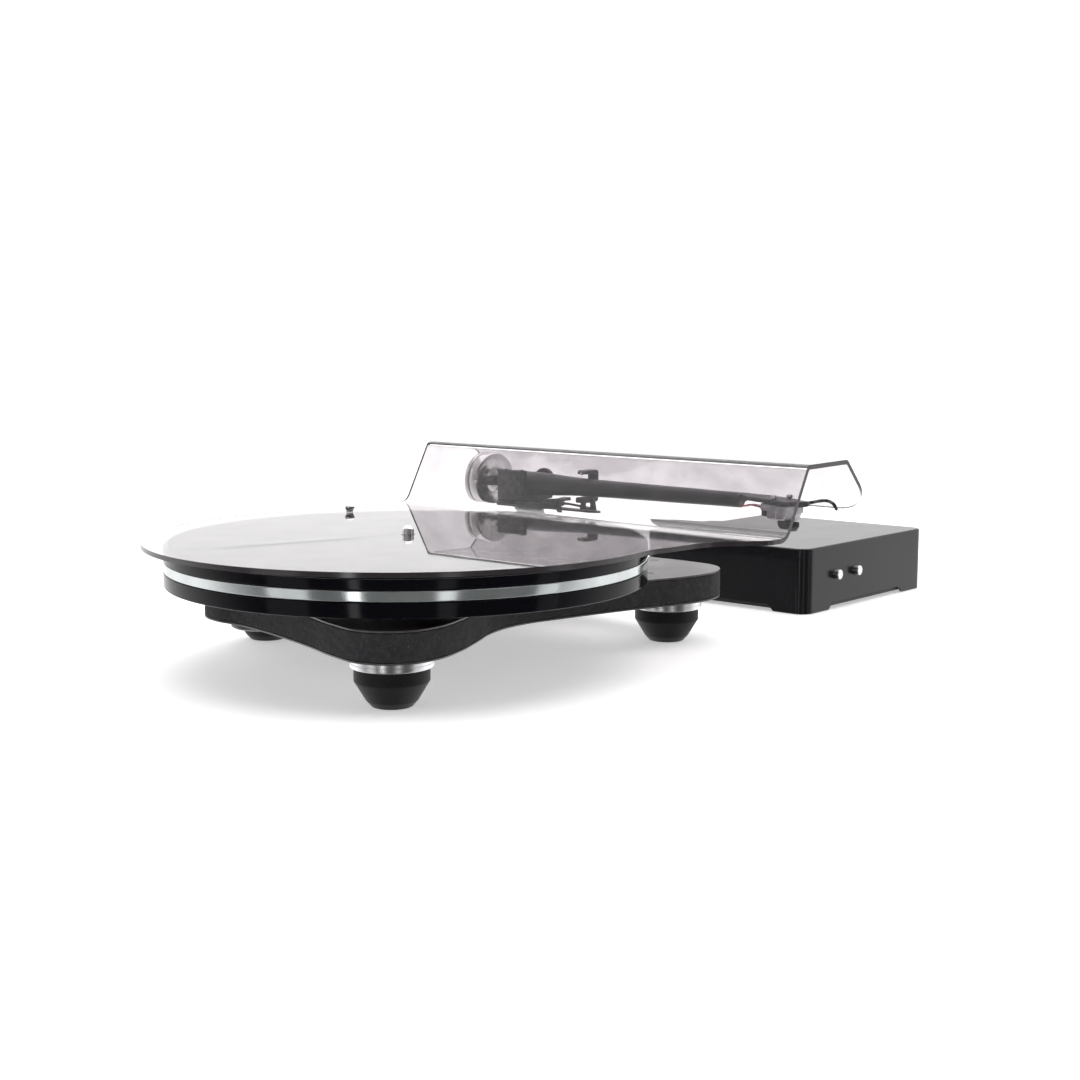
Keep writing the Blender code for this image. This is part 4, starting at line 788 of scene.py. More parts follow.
low, high, middle, half_size = extent("arm_mount_flange")
reach, bore, rise = half_size[0], extent("arm_pillar")[3][0] + 0.0003, high[2] - low[2]
flange = rounded([(bore, low[2]), (reach, low[2]), (reach, low[2] + rise * 0.7), (reach - 0.0020, high[2]),
                  (bore, high[2])], [0.0002, 0.0003, 0.0006, 0.0006, 0.0003], True, 5)
heads = []
for turn in (math.radians(90), math.radians(210), math.radians(330)):
    head_at = (middle[0] + 0.0155 * math.cos(turn), middle[1] + 0.0155 * math.sin(turn), high[2] - 0.0004)
    dome = rounded([(0.0018, 0), (0.0018, 0.0008), (0.0010, 0.0009), (0.0009, 0.0003), (0.0002, 0.0003)],
                   [0, 0.0003, 0.0001, 0.0001, 0], steps=4)
    heads.append(skin(turned(dome, head_at, steps=32)))
piece("mounting_flange", [skin(turned(flange, (*middle[:2], 0.0)), joined=True)] + heads, arm_black, "deck",
      ["arm_mount_flange"])

low, high, middle, half_size = extent("arm_pillar_nut")
flats = rounded([(half_size[0] * math.cos(a),
                  half_size[0] * math.sin(a)) for a in np.arange(6) * math.tau / 6],
                0.0012, True, 5)
piece("pillar_hex_nut", [slab([middle[:2] + flats, ringed(bore, middle[:2], clockwise=True)], low[2], high[2],
                              0.0005)],
      steel, "deck", ["arm_pillar_nut"])

for node, soft in (("arm_base_plate", 0.0006), ("arm_base_block", 0.0009)):
    low, high, _, _ = extent(node)
    lines = [flowing(loop, 0.0006) for loop in rim_loops(node, high[2])]
    piece(f"{node}_casting", [slab(lines, low[2], high[2], soft)], arm_black, "deck", [node])

# ---- Rest, cue lift and bias slider --------------------------------------------------------
# The tube parks in a slotted post with a sprung hook. A lever lowers and raises a damped
# platform under the tube, and a small slider at the block's side sets the bias.
SEAT_DROP = 0.0072
LEG_HALF_LOW, LEG_HALF_HIGH = 0.0074, 0.0056
SLOT_HALF = 0.0026
CLIP_HALF = 0.0039


def stood(surface, axis):
    """A slab turned up on its edge, so that it is extruded along that axis and not along Z."""
    a, b, c = surface[0].T
    points = np.column_stack([a, -c, b]) if axis == "y" else np.column_stack([c, a, b])
    return (points, *surface[1:])


low, high, middle, half_size = extent("arm_rest_post")
arm_height = extent("tilt_pivot_pin")[2][2]
seat = arm_height - SEAT_DROP
legs = rounded([(middle[1] - LEG_HALF_LOW, low[2]), (middle[1] + LEG_HALF_LOW, low[2]),
                (middle[1] + LEG_HALF_HIGH, seat), (middle[1] - LEG_HALF_HIGH, seat)],
               [0.0004, 0.0004, 0.0016, 0.0016], True)
gap_low, gap_high = low[2] + 0.0018, seat - 0.0040
opening = rounded([(middle[1] - SLOT_HALF, gap_low), (middle[1] - SLOT_HALF, gap_high),
                   (middle[1] + SLOT_HALF, gap_high), (middle[1] + SLOT_HALF, gap_low)], 0.0015, True)
clip_line = [(0.0, seat - 0.004), (0.0125, seat - 0.004), (0.0175, seat - 0.0035), (0.0175, high[2] - 0.0015),
             (0.0160, high[2]), (0.0035, high[2]), (0.0020, high[2] - 0.0012), (0.0020, arm_height + 0.0098),
             (0.0140, arm_height + 0.0098), (0.0140, seat + 0.002), (0.0120, seat), (0.0, seat)]
clip = rounded([(low[0] + x, z) for x, z in clip_line],
               [0.0012, 0.003, 0.003, 0.0008, 0.0008, 0.0008, 0.0008, 0.0003, 0.0016, 0.0016, 0.0016, 0.0010],
               True)
rivet = rounded([(0.0012, -0.0010), (0.0012, 0.0002), (0.0002, 0.0006)], [0, 0.0004, 0], steps=5)
piece("rest_post", [stood(slab([legs, opening], low[0] + 0.0088, low[0] + 0.0112, 0.0005), "x"),
                    stood(slab([clip], -middle[1] - CLIP_HALF, -middle[1] + CLIP_HALF, 0.0006), "y")],
      arm_black, "deck", ["arm_rest_post"])
piece("rest_clip_pin", [skin(turned(rivet, (low[0] + 0.0022, middle[1], high[2] - 0.0022), (-1, 0, 0), 32))],
      steel, "deck")

low, high, middle, half_size = extent("lift_platform")
bar_low = high[2] - 0.0024
bar = rounded([(low[0], low[1]), (high[0], low[1]), (high[0], high[1]), (low[0], high[1])], 0.0022, True)
pad = rounded([(low[0] + 0.001, bar_low + 0.0010), (high[0] - 0.001, bar_low + 0.0010),
               (high[0] - 0.0006, high[2]), (middle[0], high[2] - 0.0007), (low[0] + 0.0006, high[2])],
              [0.0003, 0.0003, 0.0005, 0.01, 0.0005], True)
stem = rounded([(0.0003, low[2]), (0.0020, low[2]), (0.0020, bar_low + 0.001), (0.0003, bar_low + 0.001)],
               [0, 0.0005, 0, 0], steps=4)
piece("lift_bar", [slab([bar], bar_low, high[2] - 0.0008, 0.0005),
                   stood(slab([pad], -high[1] + 0.0008, -low[1] - 0.0008, 0.0003), "y"),
                   skin(turned(stem, (*middle[:2], 0.0), steps=48))], arm_black, "lift", ["lift_platform"])

low, high, middle, half_size = extent("cue_lever")
barrel_radius = 0.0024
pivot = np.array([middle[0], high[1] - barrel_radius, high[2] - barrel_radius])
barrel = rounded([(0.0003, -0.0019), (barrel_radius, -0.0019), (barrel_radius, 0.0019), (0.0003, 0.0019)],
                 [0, 0.0004, 0.0004, 0], steps=4)
bend = np.array([(0, -0.0010, 0.0), (0, -0.0080, -0.0001), (0, -0.0150, -0.0006), (0, -0.0230, -0.0014),
                 (0, -0.0290, -0.0021), (0, -0.0299, -0.00215)])
piece("cue_lever_arm", [skin(turned(barrel, pivot, (1, 0, 0), 48)),
                        skin(swept(pivot + bend, [0.0011, 0.0009, 0.0009, 0.0010, 0.0011, 0.0006], 20))],
      flange_metal, "lever", ["cue_lever"])

low, high, middle, half_size = extent("bias_slider")
tab = rounded([(low[0], low[1]), (high[0], low[1]), (high[0], high[1]), (low[0], high[1])], 0.0008, True)
ribs = [stood(slab([rounded([(y - 0.0003, low[2] + 0.0006), (y + 0.0003, low[2] + 0.0006),
                             (y + 0.0003, high[2] - 0.0006), (y - 0.0003, high[2] - 0.0006)], 0.0002, True,
                            3)], low[0] + 0.0001, low[0] + 0.0006, 0.0001), "x")
        for y in np.linspace(low[1] + 0.0016, high[1] - 0.0016, 4)]
piece("bias_tab", [slab([tab], low[2], high[2], 0.0005)] + ribs, plastic, "bias", ["bias_slider"])

# ---- Bearing yoke, tracking dial and tilt pin ----------------------------------------------
# A machined yoke turns on its upright shaft in the block. Its cheeks hold the tilt pin, and
# the sprung dial on the outer cheek sets the tracking force.
YOKE_SETBACK = 0.0060
OUTER_DROP = 0.0048
low, high, middle, half_size = extent("bearing_yoke")
yoke_low, shaft_low = extent("arm_base_block")[1][2] + 0.0003, low[2]
inner, cheek_soft = 0.0125, 0.0030
x0 = middle[0]
outer_top, cradle_top = high[2] - OUTER_DROP, yoke_low + 0.0024
yoke_section = rounded([(low[0], yoke_low), (high[0], yoke_low), (high[0], outer_top),
                        (x0 + inner, outer_top), (x0 + inner, cradle_top), (x0 - inner, cradle_top),
                        (x0 - inner, high[2]), (low[0], high[2])],
                       [0.0012, 0.0012, cheek_soft, 0.0008, 0.0012, 0.0012, 0.0008, cheek_soft], True)
shaft = rounded([(0.0003, shaft_low), (0.0060, shaft_low), (0.0060, yoke_low + 0.001),
                 (0.0003, yoke_low + 0.001)],
                [0, 0.0006, 0, 0], steps=4)
piece("yoke_carrier", [stood(slab([yoke_section], -high[1], -low[1] - YOKE_SETBACK, 0.0007), "y"),
                       skin(turned(shaft, (*arm_axis, 0.0), steps=72))], arm_black, "yoke", ["bearing_yoke"])
grub = rounded([(0.0014, -0.0008), (0.0014, 0.0004), (0.0008, 0.0005), (0.0007, -0.0002), (0.0002, -0.0002)],
               [0, 0.0002, 0.0001, 0.0001, 0], steps=3)
grubs = [skin(turned(grub, (x0 + side * 0.0147, arm_axis[1] + reach, top), steps=32))
         for side, top in ((-1, high[2]), (1, outer_top)) for reach in (-0.007, 0.009)]
piece("yoke_grub_screws", grubs, flange_metal, "yoke")

low, high, middle, half_size = extent("tracking_force_dial")
rim, deep = half_size[1], high[0] - low[0]
face = rounded([(0.0004, 0), (rim, 0), (rim, deep * 0.62), (rim - 0.0012, deep * 0.80),
                (rim * 0.45, deep * 0.94), (rim * 0.40, deep), (0.0004, deep)],
               [0, 0.0003, 0.0004, 0.0008, 0.0004, 0.0003, 0], steps=5)
rows = turned(face, (low[0], *middle[1:]), (1, 0, 0), 288)
knurl = 1 - 0.028 * (0.5 + 0.5 * np.cos(48 * np.linspace(0, math.tau, 288, endpoint=False)))
on_rim = ((face[:, 0] > rim - 0.0003) & (face[:, 1] > 0.0004))[:, None]
scale = np.where(on_rim, knurl, 1.0)[..., None]
rows[..., 1:] = middle[1:] + (rows[..., 1:] - middle[1:]) * scale
piece("force_dial", [skin(rows)], arm_black, "dial", ["tracking_force_dial"])

low, high, middle, half_size = extent("tilt_pivot_pin")
pin = rounded([(0.0003, -half_size[0]), (half_size[2], -half_size[0]), (half_size[2], half_size[0]),
               (0.0003, half_size[0])], [0, 0.0005, 0.0005, 0], steps=4)
piece("tilt_pin", [skin(turned(pin, middle, (1, 0, 0), 48))], steel, "arm", ["tilt_pivot_pin"])

# ---- Arm: one casting from the flared root to the headshell --------------------------------
# The tube and headshell are one thin casting, flared at the root. The tube's lower half is
# cut off in a curve, and its upper half runs on as the flat headshell, turned inwards.
HEAD_OFFSET = math.radians(21.0)
TUBE_FRONT = extent("arm_pillar")[2][1] - 0.1920
PLATE_MIDDLE, PLATE_HALF = 0.0033, 0.0017
HEAD_LENGTH, HEAD_HALF, NECK_HALF = 0.0640, 0.0095, 0.0050
head_way = np.array([-math.sin(HEAD_OFFSET), -math.cos(HEAD_OFFSET)])
head_side = np.array([-head_way[1], head_way[0]])
head_root = np.array([arm_axis[0], TUBE_FRONT])


def on_head(surface):
    """A surface made along, across and above the headshell, put in its place at the tube's end."""
    reach, across, rise = surface[0].T
    plan = head_root + reach[:, None] * head_way + across[:, None] * head_side
    return (np.column_stack([plan, arm_height + rise]), *surface[1:])


low, high, _, _ = extent("arm_tube")
root = high[1] - arm_axis[1]
stations = [(root, 0.0062), (root - 0.0004, 0.0070), (root - 0.0012, 0.0084), (root - 0.0026, 0.0086),
            (-0.0140, 0.0086), (-0.0260, 0.0080), (-0.0420, 0.0070), (-0.0600, 0.0064), (-0.1200, 0.0058),
            (-0.1800, 0.0052), (-0.1920, 0.0051)]
station_y, station_r = np.array(stations).T
y_rows = np.concatenate([station_y[:4], np.linspace(root - 0.004, -0.1915, 90),
                         [-0.1920, -0.1930, -0.1942, -0.1952]])
tube_r = np.interp(-y_rows, -station_y, station_r)
evened = np.convolve(np.pad(tube_r, 3, "edge"), np.ones(7) / 7, "valid")
tube_r = np.where(np.arange(len(y_rows)) > 5, evened, tube_r)
tube_path = np.column_stack([np.full(len(y_rows), arm_axis[0]), arm_axis[1] + y_rows])
tube_heading = np.tile([0.0, -1.0], (len(y_rows), 1))
turned_in = np.linspace(0, HEAD_OFFSET, 9)[1:]
neck_reach = np.concatenate([np.linspace(0.0045, 0.0085, 8), [0.011, 0.014, 0.017, 0.020, 0.024, 0.040, 0.056,
                                                            0.0600, 0.0616, 0.0628, 0.0636, 0.0640]])
neck_turn = np.concatenate([turned_in, np.full(len(neck_reach) - 8, HEAD_OFFSET)])
neck_heading = np.column_stack([-np.sin(neck_turn), -np.cos(neck_turn)])
neck_path = head_root + neck_reach[:, None] * head_way
path = np.concatenate([tube_path, neck_path])
heading = np.concatenate([tube_heading, neck_heading])
count, on_tube = len(path), len(y_rows)
share = np.clip((np.arange(count) - on_tube + 5) / 7, 0, 1)
half_wide = np.concatenate([tube_r, np.interp(neck_reach, [0.0045, 0.008, 0.020, 0.0600, 0.0628, 0.0640],
                                              [0.0050, NECK_HALF, HEAD_HALF, HEAD_HALF, HEAD_HALF - 0.0014,
                                               HEAD_HALF - 0.0040])])
top = np.concatenate([tube_r, np.full(len(neck_reach), PLATE_MIDDLE + PLATE_HALF)])
top = np.minimum(top, np.where(share > 0, PLATE_MIDDLE + PLATE_HALF + (1 - share) * 0.0002, top))
tube_low = np.concatenate([-tube_r, np.full(len(neck_reach), 0.0)])
bottom = np.where(share > 0, (PLATE_MIDDLE - PLATE_HALF) * share**0.5 + (1 - share**0.5) * -0.0051, tube_low)
power = 2.0 + 4.0 * share
turn = np.linspace(0, math.tau, 72, endpoint=False)[None, :]
round_c = np.sign(np.cos(turn)) * np.abs(np.cos(turn)) ** (2 / power[:, None])
round_s = np.sign(np.sin(turn)) * np.abs(np.sin(turn)) ** (2 / power[:, None])
across = np.column_stack([-heading[:, 1], heading[:, 0]])
rows = np.empty((count, 72, 3))
rows[..., :2] = path[:, None] + (half_wide[:, None] * round_c)[..., None] * across[:, None]
rows[..., 2] = arm_height + (top + bottom)[:, None] / 2 + ((top - bottom)[:, None] / 2) * round_s
piece("arm_casting", [skin(rows)], arm_black, "arm", ["arm_tube"], crease=50.0)

# ---- Counterweight and its shaft ------------------------------------------------------------
# A turned steel drum, polished all over, with a groove near its rear third and a dished
# front, slides on a plain steel stub that is pressed into the tube's root.
low, high, middle, half_size = extent("weight_shaft")
stub = rounded([(0.0003, low[1]), (half_size[0], low[1]), (half_size[0], high[1]),
                (half_size[0] * 0.55, high[1]), (half_size[0] * 0.40, high[1] - 0.0008),
                (0.0003, high[1] - 0.0008)], [0, 0.0002, 0.0007, 0.0003, 0.0002, 0], steps=4)
piece("weight_stub", [skin(turned(stub, (middle[0], 0.0, middle[2]), (0, 1, 0), 72))], steel, "arm",
      ["weight_shaft"])

low, high, middle, half_size = extent("counterweight")
front, back, reach, bore = low[1], high[1], half_size[0], extent("weight_shaft")[3][0] + 0.0003
groove, floor_of_groove, dish = front + 0.0088, reach - 0.0012, front + 0.0030
drum = rounded([(bore, dish), (0.0090, dish), (0.0095, front), (reach, front), (reach, groove - 0.0006),
                (floor_of_groove, groove - 0.0005), (floor_of_groove, groove + 0.0005),
                (reach, groove + 0.0006), (reach, back), (bore + 0.0040, back),
                (bore + 0.0034, back - 0.0008), (bore, back - 0.0008)],
               [0.0002, 0.0003, 0.0006, 0.0016, 0.0002, 0.0004, 0.0004, 0.0002, 0.0016, 0.0003, 0.0003,
                0.0002], True, 5)
piece("counterweight_drum", [skin(turned(drum, (middle[0], 0.0, middle[2]), (0, 1, 0), 160), joined=True)],
      steel, "weight", ["counterweight"])

# ---- Cartridge: body, pin block, frame, guard, screws, leads and finger lift ----------------
# A moulded grey body hangs on two screws. Four silicone leads reach its rear pins from the
# tube, a clipped guard covers the stylus, and a bent wire serves as the finger lift.
low, high, middle, half_size = extent("cartridge_body")
BODY_TOP, BODY_TALL = high[2] - arm_height, high[2] - low[2]
BODY_REACH, BODY_LONG, BODY_WIDE = 0.0445, 0.0260, 0.0160
cartridge_grey = speckled("smoky cartridge body", (0.30, 0.29, 0.30), (0.38, 0.37, 0.38), 0.22, scale=1800.0,
                          bump=0.05, coat=0.4, wear_and_sheen=0.4, worn_and_sheen_colour=(0.7, 0.7, 0.7))
frame_white = speckled("pale cartridge frame", (0.78, 0.77, 0.77), (0.84, 0.83, 0.83), 0.35, scale=1500.0,
                       bump=0.05)
contact_gold = lathed("gilded pin", (0.95, 0.72, 0.32), (0.86, 0.62, 0.26), 0.18)


def on_side(surface):
    """A slab turned up on its edge in the headshell's frame, so that its outline is a side view."""
    return (np.column_stack([surface[0][:, 0], -surface[0][:, 2], surface[0][:, 1]]), *surface[1:])


def oblong(reach, long, across, wide, radius):
    """A round-cornered rectangle on the headshell, centred at a reach and a distance across."""
    a, b = long / 2, wide / 2
    return rounded([(reach - a, across - b), (reach + a, across - b), (reach + a, across + b),
                    (reach - a, across + b)],
                   radius, True)


rear = BODY_REACH - BODY_LONG / 2
belly = rounded([(rear + 0.0062, BODY_TOP - BODY_TALL), (rear + BODY_LONG - 0.0032, BODY_TOP - BODY_TALL),
                 (rear + BODY_LONG - 0.0002, BODY_TOP - BODY_TALL * 0.45),
                 (rear + 0.0040, BODY_TOP - BODY_TALL * 0.45)],
                [0.0016, 0.0020, 0.0005, 0.0005], True)
BELLY_HALF = BODY_WIDE * 0.40
belly_side = on_side(slab([belly], -BELLY_HALF, BELLY_HALF, 0.0006))
cap = slab([oblong(BODY_REACH, BODY_LONG, 0.0, BODY_WIDE, 0.0016)], BODY_TOP - BODY_TALL * 0.46, BODY_TOP,
           0.0005)
piece("cartridge_shell", [on_head(cap), on_head(belly_side)], cartridge_grey, "arm", ["cartridge_body"])

pin_block = slab([oblong(rear + 0.0030, 0.0056, 0.0, BODY_WIDE * 0.86, 0.0006)], BODY_TOP - BODY_TALL * 0.86,
                 BODY_TOP - BODY_TALL * 0.40, 0.0004)
piece("cartridge_pin_block", [on_head(pin_block)], plastic, "arm")
BAR_SIDE, BAR_WIDE = BELLY_HALF + 0.0002, 0.0005
bars = [slab([oblong(BODY_REACH + reach, long, side * BAR_SIDE, BAR_WIDE, 0.0002)],
             BODY_TOP - BODY_TALL * low_share, BODY_TOP - BODY_TALL * high_share, 0.0001)
        for reach, long, low_share, high_share in ((0.0030, BAR_WIDE, 0.92, 0.46),
                                                   (0.0060, 0.0120, 0.94, 0.90))
        for side in (-1, 1)]
piece("cartridge_frame_lines", [on_head(bar) for bar in bars], frame_white, "arm")

low, high, middle, half_size = extent("stylus_guard")
guard_low, guard_high = low[2] - arm_height, high[2] - arm_height
guard_side = rounded([(0.0460, guard_high), (0.0462, guard_low + 0.0028), (0.0486, guard_low),
                      (0.0552, guard_low), (0.0578, guard_low + 0.0030), (0.0574, guard_high)], 0.0004, True,
                     3)
guard = on_side(slab([guard_side], -0.0045, 0.0045, 0.0013))
piece("stylus_guard_clip", [on_head(guard)],
      plastic, "arm", ["stylus_guard"])

for side in ("left", "right"):
    low, high, middle, half_size = extent(f"cartridge_screw_{side}")
    head_low, head_radius, shank_radius = high[2] - 0.0022, half_size[0], half_size[0] * 0.5
    bolt = rounded([(0.0002, low[2]), (shank_radius, low[2]), (shank_radius, head_low),
                    (head_radius, head_low), (head_radius, high[2]), (head_radius * 0.5, high[2]),
                    (head_radius * 0.5, high[2] - 0.0010), (0.0002, high[2] - 0.0010)],
                   [0, 0.0002, 0.0001, 0.0003, 0.0004, 0.0001, 0.0001, 0], steps=4)
    piece(f"cartridge_bolt_{side}", [skin(turned(bolt, (*middle[:2], 0.0), steps=48))], steel, "arm",
          [f"cartridge_screw_{side}"])


def smooth_path(points, count):
    """A smooth open line through a few points (Catmull-Rom with its ends repeated)."""
    points = np.asarray(points, float)
    padded = np.concatenate([2 * points[:1] - points[1:2], points, 2 * points[-1:] - points[-2:-1]])
    a, b, c, d = (padded[k:len(padded) - 3 + k, None] for k in range(4))
    t = np.linspace(0, 1, count, endpoint=False)[None, :, None]
    line = (2 * b + (c - a) * t + (2 * a - 5 * b + 4 * c - d) * t**2 + (3 * b - a - 3 * c + d) * t**3) / 2
    return np.concatenate([line.reshape(-1, points.shape[1]), points[-1:]])


LEADS = {"red": ((0.62, 0.05, 0.06), -0.0045, -0.0018), "white": ((0.88, 0.87, 0.86), -0.0015, -0.0018),
         "green": ((0.03, 0.42, 0.36), 0.0015, -0.0050), "blue": ((0.05, 0.09, 0.20), 0.0045, -0.0050)}
for colour, (tone, side, rise) in LEADS.items():
    tint = speckled(f"{colour} lead sleeve", tone, tuple(0.8 * value for value in tone), 0.42, scale=1600.0,
                    bump=0.05)
    line = [(0.0030, side * 0.5, -0.0034), (0.0090, side * 0.9, -0.0030 + 0.0004 * (rise < -0.003)),
            (0.0165, side * 1.2, rise * 0.5 - 0.0004), (0.0240, side * 1.1, rise * 0.9), (0.0290, side, rise),
            (rear - 0.0003, side, rise)]
    path = smooth_path(line, 12)
    sleeve = rounded([(0.0002, 0.0), (0.00075, 0.0), (0.00075, 0.0030), (0.0002, 0.0030)],
                     [0, 0.0002, 0.0002, 0], steps=3)
    tag = turned(sleeve, (rear - 0.0033, side, rise), (1, 0, 0), 20)
    piece(f"lead_{colour}", [on_head(skin(swept(path, 0.0005, 14))), on_head(skin(tag))], tint, "arm",
          [f"cartridge_lead_{colour}"])

hook = [(0.0585, 0.0080, 0.0033), (0.0600, 0.0112, 0.0038), (0.0640, 0.0150, 0.0050),
        (0.0670, 0.0190, 0.0052), (0.0690, 0.0225, 0.0030), (0.0700, 0.0245, -0.0010)]
line = smooth_path(hook, 10)
tip_radii = np.full(len(line), 0.0011)
tip_radii[-3:] = (0.00105, 0.0009, 0.0005)
piece("finger_lift_wire", [on_head(skin(swept(line, tip_radii, 20)))], flange_metal, "arm", ["finger_lift"])

# ---- Dust cover: one folded sheet of smoked acrylic -------------------------------------------
# A 3 mm sheet is cut to the platter's circle, flared to straight ends and hot-folded three
# times into a hood over the tonearm. It lies on the record or mat; a small knob lifts it.
SHEET = 0.0030
FOLD_X = 0.1410
HOOD_SECTION = [(0.1648, 0.1237), (0.2136, 0.1244), (0.2470, 0.0904)]
HOOD_CORNER = 0.0240
FLAT_RUN = 0.0015
cover_low, cover_high, _, _ = extent("dust_cover")
cover_top = extent("cover_knob")[0][2] - 0.0003
cover_radius = axle[0] - cover_low[0]
hood_front, hood_rear = cover_low[1] - axle[1], 0.1465

bends = rounded([(FOLD_X - 0.020, cover_top), (FOLD_X, cover_top), *HOOD_SECTION],
                [0, 0.0100, 0.0050, 0.0050, 0], steps=10)[1:]
section = [np.array([bends[0][0] - FLAT_RUN, cover_top])]
for here, there in zip(bends[:-1], bends[1:]):
    section.append(here)
    gap = np.linalg.norm(there - here)
    if gap > 4 * FLAT_RUN:
        section += [here + (there - here) * FLAT_RUN / gap, there - (there - here) * FLAT_RUN / gap]
section.pop()
fold_line = section[0][0]
rear_angle, front_angle = math.asin(0.1430 / cover_radius), math.radians(280.0)
round_edge = np.linspace(rear_angle, front_angle, 150)
flare = smooth_path([(0.0440, -0.1580), (0.0620, -0.1602), (0.0860, -0.1625), (0.1020, -0.1690),
                     (0.1140, -0.1790), (0.1240, -0.1862), (fold_line, hood_front)], 6)
outline = np.concatenate([[(fold_line, hood_front), (fold_line, hood_rear), (0.1080, 0.1434),
                           (0.0900, 0.1432)],
                          cover_radius * np.column_stack([np.cos(round_edge), np.sin(round_edge)]),
                          flare[:-1]])
spindle_hole = ringed(0.0044, (0.0, 0.0), 48, clockwise=True)
flat_points = np.concatenate([outline, spindle_hole])
flat_faces = tessellate_polygon([[Vector((*point, 0.0)) for point in line] for line in (outline,
                                                                                        spindle_hole)])
points = [(x, y, cover_top) for x, y in flat_points]


def facing_up(face):
    """The face with its corners anticlockwise seen from above."""
    a, b, c = (np.array(points[i][:2]) for i in face)
    return face if np.cross(b - a, c - a) > 0 else face[::-1]


faces = [facing_up(tuple(face)) for face in flat_faces]
near, far = 0, 1
for x, z in section[1:-1]:
    points += [(x, hood_front, z), (x, hood_rear, z)]
    faces.append((near, len(points) - 2, len(points) - 1, far))
    near, far = len(points) - 2, len(points) - 1
crown, foot = section[-1], np.array(HOOD_SECTION[-1])
slant, depth = (foot - crown) / np.linalg.norm(foot - crown), np.linalg.norm(foot - crown)
points += [(crown[0], hood_front, crown[1]), (crown[0], hood_rear, crown[1])]
faces.append((near, len(points) - 2, len(points) - 1, far))
near, far = len(points) - 2, len(points) - 1
sweep_round = np.linspace(0, math.pi / 2, 14)
down = depth - HOOD_CORNER + HOOD_CORNER * np.sin(sweep_round)
inset = HOOD_CORNER * (1 - np.cos(sweep_round))
free = [(d, hood_front + i) for d, i in zip(down, inset)] + [(d, hood_rear - i) for d,
                                                             i in zip(down[::-1], inset[::-1])]
faces.append((near, *range(len(points), len(points) + len(free)), far))
points += [(crown[0] + slant[0] * d, y, crown[1] + slant[1] * d) for d, y in free]

cover_mesh = bpy.data.meshes.new("folded_cover")
cover_mesh.from_pydata([(x + axle[0], y + axle[1], z) for x, y, z in points], [], faces)
cover_mesh.shade_smooth()
layer = cover_mesh.uv_layers.new(name="UVMap")
corner_points = np.empty(len(cover_mesh.loops), int)
cover_mesh.loops.foreach_get("vertex_index", corner_points)
layer.data.foreach_set("uv", np.array(points)[corner_points][:, :2].astype(np.float32).ravel())


def acrylic(name, tint, clear, gloss_value):
    """Smoked acrylic: a Principled glass whose colour drifts a little, and which lets lamps' rays
    through as tinted light, so that what it covers is lit."""
    made = bpy.data.materials.new(name)
    made.use_nodes = True
    tree = made.node_tree
    shader, output = tree.nodes["Principled BSDF"], tree.nodes["Material Output"]
    where = add(tree, "ShaderNodeTexCoord").outputs["Object"]
    specks = place_effect(tree, speckle, {"Vector": where, "Base": opaque(tint), "Fleck": opaque(tint),
                                          "Scale": 300.0, "Cover": 0.1, "Gloss": gloss_value,
                                          "Gloss Drift": gloss_value * 0.5})
    tree.links.new(specks.outputs["Color"], shader.inputs["Base Color"])
    tree.links.new(specks.outputs["Roughness"], shader.inputs["Roughness"])
    shader.inputs["IOR"].default_value = 1.49
    shader.inputs["Transmission Weight"].default_value = clear
    through = add(tree, "ShaderNodeBsdfTransparent", {"Color": opaque(tint)})
    path_kind = add(tree, "ShaderNodeLightPath")
    both = add(tree, "ShaderNodeMixShader", {0: path_kind.outputs["Is Shadow Ray"], 1: shader.outputs["BSDF"],
                                             2: through.outputs["BSDF"]})
    tree.links.new(both.outputs["Shader"], output.inputs["Surface"])
    return made


smoked = acrylic("smoked acrylic", (0.66, 0.635, 0.65), 1.0, 0.004)
# The sheet's cut rims get an opaque dark finish: painted shade standing for the light that clear smoked
# acrylic traps along its edges.
cut_edge_painted_dark = speckled("polished cut edge painted dark", (0.028, 0.024, 0.026), (0.05, 0.045, 0.047), 0.14, scale=700.0,
                    bump=0.05)
cover_mesh.materials.append(smoked)
cover_mesh.materials.append(cut_edge_painted_dark)
cover = bpy.data.objects.new("folded_cover", cover_mesh)
bpy.context.scene.collection.objects.link(cover)
solid = cover.modifiers.new("sheet", "SOLIDIFY")
solid.thickness, solid.offset, solid.use_even_offset, solid.material_offset_rim = SHEET, -1.0, True, 1
arris = cover.modifiers.new("arris", "BEVEL")
arris.width, arris.segments, arris.limit_method, arris.angle_limit = 0.0004, 2, "ANGLE", math.radians(50)


def settle(target, name):
    """Keep what a piece's modifiers make as its own mesh, so that its creases can be set."""
    bpy.context.view_layer.update()
    made = bpy.data.meshes.new_from_object(target.evaluated_get(bpy.context.evaluated_depsgraph_get()))
    target.modifiers.clear()
    target.data = made
    made.name = name
    return made


settle(cover, "folded_cover_sheet").set_sharp_from_angle(angle=math.radians(18))
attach(cover, "cover")
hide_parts("dust_cover")

low, high, middle, half_size = extent("cover_knob")
reach, tall = half_size[0], high[2] - low[2]
knob = rounded([(0.0004, 0), (reach * 0.72, 0), (reach * 0.72, tall * 0.25), (reach, tall * 0.48),
                (reach, tall * 0.70), (reach * 0.62, tall * 0.95), (0.0004, tall)],
               [0, 0.0002, 0.0006, 0.0006, 0.0010, 0.0014, 0], steps=7)
piece("lifting_knob", [skin(turned(knob, (*middle[:2], low[2]), steps=96))], steel, "cover", ["cover_knob"])

